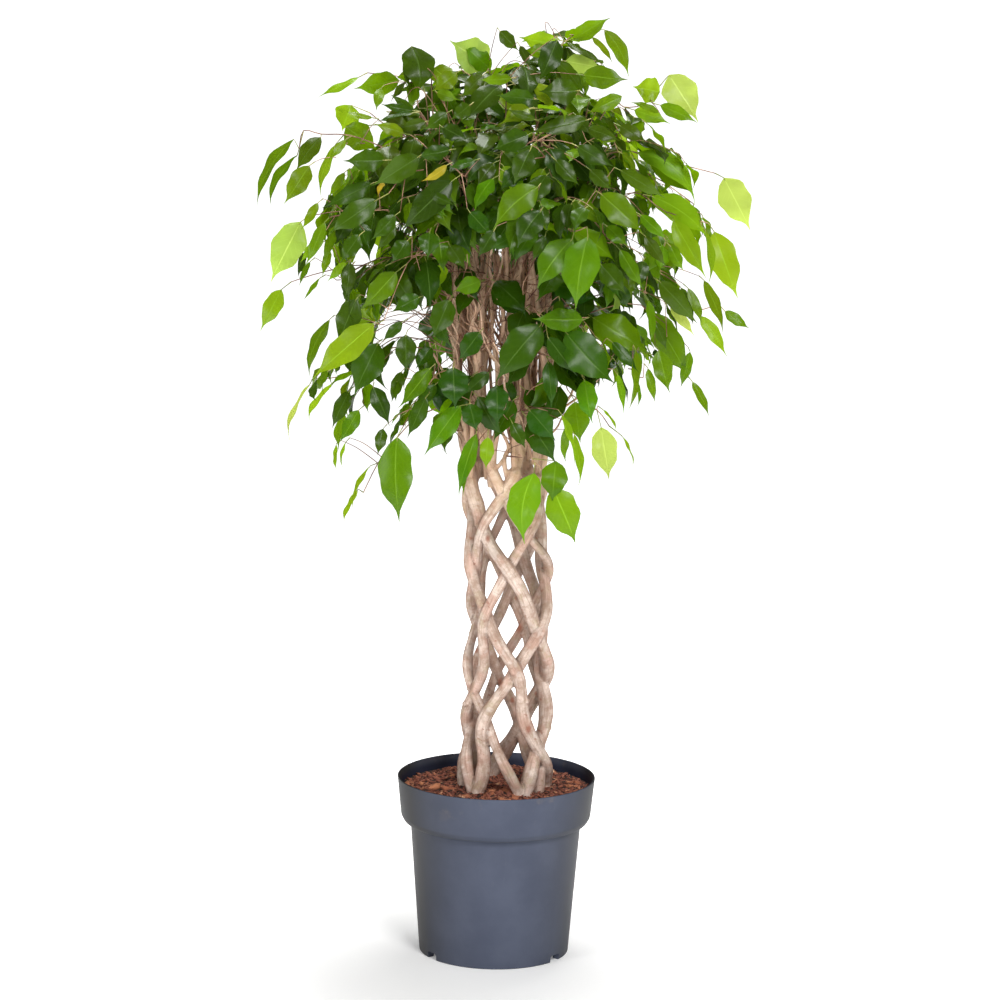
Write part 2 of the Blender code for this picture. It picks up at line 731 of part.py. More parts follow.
def leaf_is_clear(crown, leaf, stations, own_twig):
    wide = blade_shape(leaf, stations, BLADE_THICKNESS, CLEARANCE, stalk=False)
    if not crown.is_clear(wide):
        return False
    return crown.is_clear(blade_shape(leaf, stations, BLADE_THICKNESS, CLEARANCE / 2), own_twig)


def add_leaf(crown, leaf, own_twig):
    """Adds a leaf if it is clear of all else, and returns its shape."""
    stations = MORE_STATIONS if leaf.length > LONG_LEAF else FEW_STATIONS
    if not leaf_is_clear(crown, leaf, stations, own_twig):
        return None
    shape = blade_shape(leaf, stations, BLADE_THICKNESS)
    crown.add(shape)
    return shape


def seen_leaf(chance, node, base, tip, shift):
    """A leaf between two places that show. What doesn't show of its length leans outwards."""
    base = base + Vector((0, shift, 0))
    ahead = tip - base
    ahead.y = 0
    shown = ahead.length
    length = max(shown, LEAF_LENGTH[0])
    ahead.y = -math.sqrt(length**2 - shown**2) * (1 if base.y < 0.03 else -1)
    away = outward(0 if base.y < 0.03 else 180)
    face = away + Vector((chance.uniform(-0.4, 0.4), 0, 0.35))
    width = length * chance.uniform(*LEAF_SLENDERNESS) * (0.9 if length > 0.09 else 1.0)
    return Leaf(node, base, ahead, face, length, width, chance.uniform(0.04, 0.12))


def rule_leaf(chance, path, i, turn):
    """A leaf that hangs from a twig, to the left or to the right of it."""
    node = path[i]
    along = (path[min(i + 1, len(path) - 1)] - path[i - 1]).normalized()
    across = along.cross(Vector((0, 0, 1)))
    across = across.normalized() if across.length > 0.2 else along.orthogonal().normalized()
    fall = chance.uniform(0.35, 1.0)
    ahead = along * chance.uniform(0.3, 0.7) + across * (turn * chance.uniform(0.35, 0.8))
    ahead += Vector((0, 0, -fall))
    away = node - trunk_axis(node.z)
    away.z = 0
    face = away.normalized() * 0.8 + Vector((0, 0, 0.8)) + across * chance.uniform(-0.4, 0.4)
    length = chance.uniform(*LEAF_LENGTH) * 0.92
    width = length * chance.uniform(*LEAF_SLENDERNESS)
    stalk = (ahead.normalized() + across * turn * 0.6).normalized() * STALK_LENGTH
    return Leaf(node, node + stalk, ahead, face, length, width, chance.uniform(0.06, 0.22))


def add_rule_leaves(chance, crown, path, places, own_twig):
    shapes = []
    for number, i in enumerate(places):
        turn = 1 if number % 2 else -1
        for attempt in range(14):
            leaf = rule_leaf(chance, path, i, turn if attempt % 2 == 0 else -turn)
            shape = add_leaf(crown, leaf, own_twig)
            if shape:
                shapes.append(shape)
                break
    return shapes


def root_height(z):
    """Twigs that end low start higher up and hang, and those that end high start lower down."""
    return 0.72 + (z - 0.62) * 0.62


def is_sound(thing):
    """Whether the finished surface is closed and doesn't run through itself."""
    shape = bmesh.new()
    shape.from_object(thing, bpy.context.evaluated_depsgraph_get())
    closed = all(len(edge.link_faces) == 2 for edge in shape.edges)
    points = [vert.co.copy() for vert in shape.verts]
    faces = [tuple(vert.index for vert in face.verts) for face in shape.faces]
    shape.free()
    return closed and not runs_through_itself(points, faces)


def build_spray(name, shapes, material):
    """One body of a twig and its leaves. Where neither solver joins them soundly, a leaf is left out."""
    twig, *leaves = shapes
    while True:
        for solver in ("EXACT", "MANIFOLD"):
            spray = make_object(name, twig)
            apply_boolean(spray, leaves, "UNION", solver)
            thinner = spray.modifiers.new("Fewer faces", "DECIMATE")
            thinner.ratio = SPRAY_FACES_KEPT
            thinner.use_collapse_triangulate = True
            if is_sound(spray):
                spray.data.materials.append(material)
                shade_smooth(spray, 60)
                return
            bpy.data.objects.remove(spray, do_unlink=True)
        leaves = leaves[:-1]


def seen_spray(chance, crown, leaders, wood, depth, leaves):
    """The shapes of a spray whose large leaves have their places."""
    places = []
    for x0, z0, x1, z1 in leaves:
        base, tip = Vector((x0 * CM, depth * CM, z0 * CM)), Vector((x1 * CM, depth * CM, z1 * CM))
        inwards = (trunk_axis(base.z) - base).normalized() * 0.005 + Vector((0, 0, 0.002))
        places.append((base + inwards - (tip - base).normalized() * 0.008, base, tip))
    targets = [node for node, _, _ in places]
    end_turn = (targets[-1] - trunk_axis(targets[-1].z)).normalized() * 0.010
    spans = [1, 2, 2] + [1] * len(targets)
    grown = grow_twig(crown, leaders, wood, targets, end_turn, root_height(targets[0].z), 0.15, spans)
    if not grown:
        return None
    path, twig = grown
    crown.add(twig)
    own = crown.things[-1]
    shapes = [twig]
    for number, (_, base, tip) in enumerate(places):
        node = path[5 + number]
        for shift in (0, -0.008, 0.008, -0.016, 0.016, -0.026, 0.026):
            shape = add_leaf(crown, seen_leaf(chance, node, base, tip, shift), own)
            if shape:
                shapes.append(shape)
                break
    return shapes + add_rule_leaves(chance, crown, path, (4, 3, 2), own)


def rule_spray(chance, crown, leaders, wood, height, reach, angle):
    """The shapes of a spray of the tiers, or None where it finds no room."""
    for attempt in range(12):
        own_angle = angle + chance.uniform(-12, 12) * (1 + attempt * 0.4)
        own_reach = reach * chance.uniform(0.82, 1.06)
        end = trunk_axis(height) + outward(own_angle) * own_reach
        end.z += chance.uniform(-0.03, 0.03)
        turn = outward(own_angle) * 0.015 + Vector((0, 0, -0.018))
        grown = grow_twig(crown, leaders, wood, [end], turn, root_height(height), 0.22, RULE_SPANS)
        if not grown:
            continue
        path, twig = grown
        crown.add(twig)
        own = crown.things[-1]
        return [twig] + add_rule_leaves(chance, crown, path, (6, 5, 4, 3, 2, 6), own)
    return None


def build_sprays():
    leaders = all_leaders()
    points, faces = [], []
    for shape_points, shape_faces in wood_shapes():
        faces += [tuple(len(points) + i for i in face) for face in shape_faces]
        points += shape_points
    wood = BVHTree.FromPolygons(points, faces)
    crown = Crown()
    crown.add((points, faces))
    material = make_material("fig leaf", (0.050, 0.150, 0.022), 0.35)
    chance = random.Random(SEED)
    for name, depth, leaves in SEEN_SPRAYS:
        shapes = seen_spray(chance, crown, leaders, wood, depth, leaves)
        if shapes:
            build_spray("spray_" + name, shapes, material)
    for name, count, height, reach, first in TIERS:
        for i in range(count):
            angle = first + 360 * i / count
            if height < 1.0 and abs((angle + 180) % 360 - 180) < OPEN_FRONT:
                angle += OPEN_FRONT
            shapes = rule_spray(chance, crown, leaders, wood, height, reach, angle)
            if shapes:
                build_spray(f"spray_{name}_{i + 1}", shapes, material)


def main():
    clear_scene()
    build_pot()
    build_soil()
    build_trunk()
    build_sprays()


main()
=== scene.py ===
"""Looks of a weeping fig with a woven trunk, growing in its nursery pot.

Metres, +Z up. The side that is seen first faces -Y. Angles round the plant are degrees from that side,
growing towards +X.
"""

import math
import random

import bmesh
import bpy
import numpy as np
from mathutils import Matrix, Vector
from mathutils.bvhtree import BVHTree
from mathutils.kdtree import KDTree


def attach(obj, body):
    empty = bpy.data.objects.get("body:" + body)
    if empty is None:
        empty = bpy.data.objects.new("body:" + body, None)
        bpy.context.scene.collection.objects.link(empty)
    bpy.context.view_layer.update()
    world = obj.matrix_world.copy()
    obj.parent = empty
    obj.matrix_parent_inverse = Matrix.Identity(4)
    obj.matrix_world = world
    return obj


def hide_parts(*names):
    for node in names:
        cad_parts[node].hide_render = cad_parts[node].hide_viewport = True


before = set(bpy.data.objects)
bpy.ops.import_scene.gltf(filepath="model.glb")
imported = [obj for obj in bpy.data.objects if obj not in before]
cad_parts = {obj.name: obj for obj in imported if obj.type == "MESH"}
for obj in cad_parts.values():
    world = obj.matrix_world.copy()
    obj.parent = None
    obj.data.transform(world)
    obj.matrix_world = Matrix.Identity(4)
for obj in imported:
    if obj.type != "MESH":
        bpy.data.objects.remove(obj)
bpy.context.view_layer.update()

SEED = 24
CM = 0.01
FIT_GAP = 0.0003

# Pot
POT_SIDES = 160
POT_HEIGHT = 0.2445
RIM_RADIUS = 0.135
COLLAR_FOOT = 0.190
COLLAR_FOOT_RADIUS = 0.1295
BODY_TOP = 0.182
BODY_TOP_RADIUS = 0.1165
BASE_RADIUS = 0.103
WALL = 0.0025
FLOOR_UNDERSIDE = 0.010
FLOOR_TOP = 0.0125
FOOT_RING_WIDTH = 0.010
PAD_RADIUS = 0.014
NOTCH_ANGLES = (-55, 55, 125, -125)
NOTCH_WIDTH = 0.020
NOTCH_HEIGHT = 0.0096
DRAIN_ANGLES = (0, 90, 180, 270)
DRAIN_RADIUS = 0.007
DRAIN_PLACE = 0.070

# Soil
SOIL_EDGE = 0.2275
SOIL_DOME = 0.0045
SOIL_LOOK = 0.16
SOIL_COLOURS = ((0.0, (0.020, 0.008, 0.005)), (0.5, (0.070, 0.026, 0.016)), (1.0, (0.120, 0.044, 0.026)))
CHIP_COLOURS = (
    (0.0, (0.130, 0.038, 0.022)), (0.35, (0.210, 0.066, 0.040)), (0.70, (0.280, 0.094, 0.056)),
    (0.90, (0.360, 0.125, 0.068)), (0.97, (0.460, 0.180, 0.090)), (1.0, (0.560, 0.330, 0.200)),
)
LARGE_CHIP_COLOURS = ((0.0, (0.300, 0.095, 0.045)), (1.0, (0.560, 0.230, 0.110)))
# What lies loose on the soil: the piece's name, pieces in a square metre, their size, tilt and seed
CHIPS = (
    ("bark_chips", 30000.0, (0.0100, 0.0030, 0.0018), 0.50, 3),
    ("coir_fibres", 22000.0, (0.014, 0.0008, 0.0008), 0.35, 9),
    ("large_chips", 520.0, (0.017, 0.0090, 0.0050), 0.30, 5),
)
CHIP_SIZES = (0.35, 1.25)
CHIP_EDGE = 0.006

# Woven trunk, as the solids have it
STEMS_EACH_WAY = 5
STEMS = [(way, index) for way in (1, -1) for index in range(STEMS_EACH_WAY)]
WEAVE_PITCH = 0.70
WEAVE_RADIUS = 0.050
WEAVE_LIFT = 0.0045
FRONT_CROSSING = 0.541
STEM_FOOT = 0.175
STEM_TOP = 0.678
STEM_STEP = 0.0300
STEM_SIDES = 6
SOIL_LINE = 0.235
FOOT_SPREAD = 0.006
FOOT_SPREAD_TOP = 0.30
FOOT_SWELL = 0.12
FOOT_SWELL_TOP = 0.28
KNOT_SWELL = 0.10
HEAD_SWELL = 0.42
HEAD_SWELL_HEIGHTS = (0.60, 0.665)
HEAD_NARROWING = 0.72
WEAVE_FOOT = (0.215, 0.285)
WEAVE_END = (0.62, 0.66)
LEAN_HEIGHTS = (0.20, 0.50, 0.65, 0.85, 1.20)
LEAN = (0.010, 0.013, 0.005, -0.004, -0.004)
# How many degrees each stem stands off an even weave at these heights, for each way of turning
LEAD_HEIGHTS = (0.24, 0.33, 0.40, 0.47, 0.54, 0.60, 0.66)
LEADS = {
    1: (
        (40, 30, 10, 7, 0, -16, -9),
        (43, 40, 39, 28, 8, -20, -23),
        (10, 10, 10, 10, 10, 5, 0),
        (7, 0, -18, -10, 0, 0, 0),
        (10, -3, 13, -3, 0, 20, 8),
    ),
    -1: (
        (20, 25, 26, -2, 0, 12, 10),
        (46, 3, 14, 28, 28, 20, 10),
        (45, 50, 30, 20, 10, 0, 0),
        (0, -10, -10, -10, -10, 0, 0),
        (-5, -10, -7, -5, 0, 7, 21),
    ),
}
STEM_RADII = {
    1: (0.0100, 0.0070, 0.0080, 0.0070, 0.0090),
    -1: (0.0080, 0.0092, 0.0095, 0.0072, 0.0080),
}
# The stems that show are slimmer than the solids', most of all at their heads: shares of the thickness at
# the heights of their leads
STEM_SHARES = (0.98, 0.96, 0.90, 0.88, 0.88, 0.85, 0.74)
LEADERS_EACH_STEM = 3
LEADER_SIDES = 4
LEADER_STEPS = 4
LEADER_RADIUS = 0.0046
LEADER_END_RADIUS = 0.0016
LEADER_SPREAD = 12
LEADER_SCATTER = 3
LEADER_SWAY = 5
LEADER_SINK = 0.026
LEADER_PARTING = 0.10
GOLDEN_SHARE = 0.618034
LEADER_HEIGHTS = (0.66, 0.75, 0.90, 1.05, 1.16)
LEADER_REACH = (0.048, 0.058, 0.066, 0.080, 0.110)
LEADER_LOWEST_END = 0.90
LEADER_HIGHEST_END = 1.14

# Twigs and leaves, as the solids have them
TWIG_SIDES = 3
TWIG_RADIUS = 0.0021
TWIG_END_RADIUS = 0.0012
TWIG_GAP = 0.0004
KNEE_REACH = 0.010
KNEE_RISE = 0.003
STALK_RADIUS = 0.0009
STALK_LENGTH = 0.011
BLADE_THICKNESS = 0.0014
BLADE_FOLD = 0.26
BLADE_WAVE = 0.05
CLEARANCE = 0.0016
LEAF_LENGTH = (0.062, 0.080)
LEAF_SLENDERNESS = (0.46, 0.54)
LONG_LEAF = 0.070
FEW_STATIONS = ((0.30, 0.95), (0.68, 0.66))
MORE_STATIONS = ((0.22, 0.80), (0.50, 1.0), (0.79, 0.42))
SEEN_SPRAYS = (
    ("top_left_reach", 1, ((-22.5, 110.5, -25.0, 105.0), (-25.5, 110.5, -29.0, 102.0),
                           (-28.0, 111.0, -34.0, 102.0), (-28.5, 108.5, -32.0, 102.0))),
    ("top_left_brow", 4, ((-14.5, 118.5, -20.5, 117.5), (-20.0, 119.0, -25.5, 117.0))),
    ("left_brow", 4, ((-17.5, 112.0, -21.5, 109.5), (-19.5, 113.5, -22.5, 111.5))),
    ("left_crest", -5, ((-11.5, 118.0, -13.0, 123.5),)),
    ("top_crest", 2, ((-4.0, 119.5, -6.0, 123.5), (-3.0, 120.0, -5.0, 124.0))),
    ("right_top", 0, ((7.5, 121.5, 12.5, 121.5), (8.5, 124.5, 13.5, 128.0), (11.0, 125.0, 15.5, 120.5))),
    ("right_crest", -3, ((14.0, 116.5, 9.5, 114.5), (16.5, 115.5, 21.5, 113.5),
                         (18.5, 117.0, 18.5, 121.0), (21.0, 118.0, 25.5, 114.5))),
    ("right_shoulder", -2, ((17.0, 109.5, 25.5, 103.5), (19.0, 109.0, 25.0, 104.5),
                            (28.5, 106.5, 32.5, 100.0))),
    ("right_reach", -4, ((19.0, 104.0, 27.0, 99.0), (22.0, 101.5, 26.5, 94.0), (27.5, 100.0, 30.5, 91.0))),
    ("right_edge", 4, ((26.5, 87.5, 30.0, 82.0), (30.0, 88.5, 33.0, 86.0))),
    ("right_fall", -8, ((12.0, 88.5, 19.5, 84.0), (19.0, 89.5, 25.0, 80.5), (25.0, 80.5, 28.0, 75.5))),
    ("right_hang", -9, ((9.5, 77.5, 10.5, 72.0), (13.0, 75.5, 14.5, 67.5), (15.0, 73.5, 18.5, 68.5))),
    ("front_low", -10, ((3.0, 75.5, 7.0, 69.0), (4.5, 69.0, 6.5, 64.0), (4.5, 68.5, 3.5, 58.5),
                        (7.0, 66.5, 10.0, 58.5))),
    ("front_left_low", -11, ((-5.0, 76.5, -10.5, 70.5), (-3.5, 74.5, -6.0, 65.5), (-2.0, 73.0, -2.5, 68.0))),
    ("left_bright", -12, ((-13.5, 73.0, -13.0, 61.5),)),
    ("left_tail", 0, ((-17.5, 66.5, -19.5, 62.5), (-19.5, 62.5, -21.5, 59.5))),
    ("left_fall", 2, ((-23.0, 78.0, -27.0, 73.0), (-26.5, 77.5, -30.0, 70.0))),
    ("left_light", -8, ((-26.5, 100.5, -30.5, 93.0),)),
    ("left_edge", 3, ((-29.5, 90.5, -32.0, 85.5),)),
    ("middle_left", -16, ((-13.5, 95.5, -18.5, 90.5), (-16.5, 88.0, -22.5, 82.0))),
    ("front_left_top", -20, ((-6.5, 107.5, -14.0, 101.0), (-11.0, 110.5, -17.0, 106.5),
                             (-16.0, 105.0, -23.0, 100.5))),
    ("front_right", -22, ((8.5, 100.5, 4.0, 94.0), (10.5, 101.0, 9.5, 91.5))),
    ("front_middle", -16, ((4.5, 88.5, -1.0, 81.0), (6.0, 88.0, 10.0, 82.0), (8.5, 88.5, 15.0, 81.5),
                           (10.5, 89.5, 4.0, 90.0))),
    ("front_centre", -11, ((-3.0, 93.5, -7.0, 92.0),)),
    ("front_drop", -12, ((10.5, 81.0, 11.5, 74.5),)),
)
TIERS = (
    ("crest", 5, 1.19, 0.12, 150),
    ("upper", 7, 1.11, 0.21, 20),
    ("shoulder", 7, 1.02, 0.27, 100),
    ("middle", 6, 0.92, 0.27, 60),
    ("lower", 5, 0.80, 0.24, 130),
)
OPEN_FRONT = 38
RULE_SPANS = (1, 2, 3, 1)

# Tones of the leaves that have their own places, in the order of their sprays: 0 is the deepest green,
# 1 a fresh leaf that light shines through
SEEN_TONES = {
    "top_left_reach": (0.6, 0.28, 0.5, 0.38), "top_left_brow": (0.48, 0.75), "left_brow": (0.54, 0.68),
    "left_crest": (0.24,), "top_crest": (0.4, 0.93), "right_top": (0.93, 0.57, 0.5),
    "right_crest": (0.75, 0.6, 0.62, 0.92), "right_shoulder": (0.66, 0.45, 0.97),
    "right_reach": (0.62, 0.64, 0.6), "right_edge": (0.76, 0.42), "right_fall": (0.36, 0.5, 0.45),
    "right_hang": (0.3, 0.84, 0.6), "front_low": (0.25, 0.52, 0.7, 0.66),
    "front_left_low": (0.56, 0.46, 0.72), "left_bright": (0.52,), "left_tail": (0.7, 0.75),
    "left_fall": (0.75, 0.85), "left_light": (1,), "left_edge": (0.62,), "middle_left": (0.56, 0.8),
    "front_left_top": (0.26, 0.18, 0.24), "front_right": (0.42, 0.38),
    "front_middle": (0.13, 0.04, 0.0, 0.30), "front_centre": (0.60,), "front_drop": (0.30,),
}

# How those leaves show from the front: the base and the tip of each as they lie on the middle plane, its
# width, and how far it is drawn nearer, in cm, and the share of its length that it bows sideways
SHOWN = {
    "top_left_reach": (
        (-22.8, 110.1, -25.3, 103.3, 1.2, 0, 0.06), (-24.7, 111.1, -27.8, 106.4, 2.3, 0, 0.06),
        (-27.8, 108.7, -32.2, 102.2, 0.8, 0, 0.13), (-28.3, 110.8, -33.9, 102.2, 1.4, 0, 0.12),
    ),
    "top_left_brow": ((-14.4, 118.8, -20.4, 117.7, 3.1, 0, 0), (-19.8, 119.1, -25.5, 117.3, 0.7, 0, -0.1)),
    "left_brow": ((-21.4, 112.6, -17.1, 109.4, 3.8, 0, 0), (-20.7, 115.4, -22, 112, 3.5, 0, 0)),
    "left_crest": ((-12.8, 123.3, -11.9, 116.9, 4.3, 0, -0.1),),
    "top_crest": ((-2.3, 120.4, -6, 123.8, 2.7, 2, 0), (-2.7, 121.1, -7.9, 124.1, 4.7, 0, 0)),
    "right_top": (
        (7.6, 121.7, 12.7, 120.9, 2.6, 1.5, 0), (8.5, 124.6, 13.3, 127.7, 2.3, 0, 0),
        (12.6, 125.9, 15.7, 119.5, 2, 0, -0.1),
    ),
    "right_crest": (
        (15.1, 117.2, 10.4, 114.9, 2, 0, 0), (16.8, 115.4, 21.6, 113.9, 2, 0, 0),
        (20.1, 117.8, 16.5, 118.6, 3.4, 0, 0), (21.3, 120.1, 25.3, 114.1, 4.5, 0, 0),
    ),
    "right_shoulder": (
        (17.3, 109.8, 25.5, 103.3, 2.8, 0, -0.15), (19.2, 108.7, 25, 104.5, 2.4, 0, 0),
        (28.9, 106.6, 32.7, 99.7, 4.2, 0, 0),
    ),
    "right_reach": (
        (19.4, 104, 27.3, 98.6, 3.3, 0, -0.07), (22.3, 100.9, 26.9, 93.2, 2.8, 0, 0),
        (27.8, 99.4, 31.1, 90.3, 3.8, 0, 0),
    ),
    "right_edge": ((26.2, 88.1, 29.7, 82.6, 1.8, 0, -0.05), (29.5, 88.8, 32.9, 86.4, 1.5, 0, 0)),
    "right_fall": (
        (11.9, 87.6, 19.8, 83.1, 4.5, 0, 0), (19.6, 88.5, 25.3, 79.6, 3.7, 0, 0),
        (25.4, 79.2, 28.2, 74.5, 1.2, 0, 0),
    ),
    "right_hang": (
        (9.7, 76.2, 10.5, 70.6, 3.3, 0, 0), (13.3, 72.8, 14.6, 65.5, 3.4, 0, 0),
        (16.1, 71.7, 18.5, 67.3, 0.4, 0, 0),
    ),
    "front_low": (
        (3.5, 73.6, 7.5, 68, 3.5, 0, 0), (7.3, 68.1, 6.8, 62.4, 3.5, 0, 0),
        (4.4, 66.4, 3.6, 56.8, 4.3, 0, 0.11), (7, 64.4, 10.5, 56.8, 4.3, 0, 0),
    ),
    "front_left_low": (
        (-5.7, 75.4, -10.6, 68.8, 3, 0, 0), (-3.5, 71.6, -6.3, 63.4, 2, 0, 0),
        (-1.9, 71.2, -2.2, 66.7, 1.9, 0, 0),
    ),
    "left_bright": ((-14.1, 71, -13.3, 59.4, 4.5, 0, 0.04),),
    "left_tail": ((-17.7, 67, -21, 61.2, 0.5, 0, 0.03), (-19.3, 63.8, -22, 59.3, 0.5, 0, 0.05)),
    "left_fall": ((-22.9, 78.2, -27.1, 73.4, 0.5, 0, 0.12), (-25.9, 78, -30.3, 70.3, 0.5, 0, 0.06)),
    "left_light": ((-27.3, 99.8, -31.4, 91.7, 4.3, 0, 0),),
    "left_edge": ((-29.8, 90.7, -32.6, 85.2, 2.5, 0, 0),),
    "middle_left": ((-14.5, 93.3, -19.1, 88.1, 3, 0, 0), (-17.4, 86.3, -25.9, 79, 3.7, 0, 0)),
    "front_left_top": (
        (-7.2, 105.6, -14.3, 98.9, 3.5, 0, 0), (-11.6, 108.8, -17.8, 104.7, 3.1, 0, 0),
        (-17.2, 102.9, -23.8, 98.4, 3, 0, 0),
    ),
    "front_right": ((8.9, 98.1, 4.1, 91.2, 3.8, 0, 0.05), (11, 98.4, 9.7, 88.6, 4.7, 0, 0.04)),
    "front_middle": (
        (5, 86.6, -1.3, 78.8, 4.5, 0, 0.02), (5.9, 84.9, 9.9, 79.8, 2.4, 0, 0),
        (8.3, 85.6, 15.2, 78.8, 4.9, 0, 0.03), (10.6, 87.3, 3.6, 87.4, 3, 0, 0),
    ),
    "front_centre": ((-3.2, 92.3, -7, 90.9, 2.3, 0, 0),),
    "front_drop": ((10.9, 79.2, 11.9, 73.4, 2.7, 0, 0),),
}

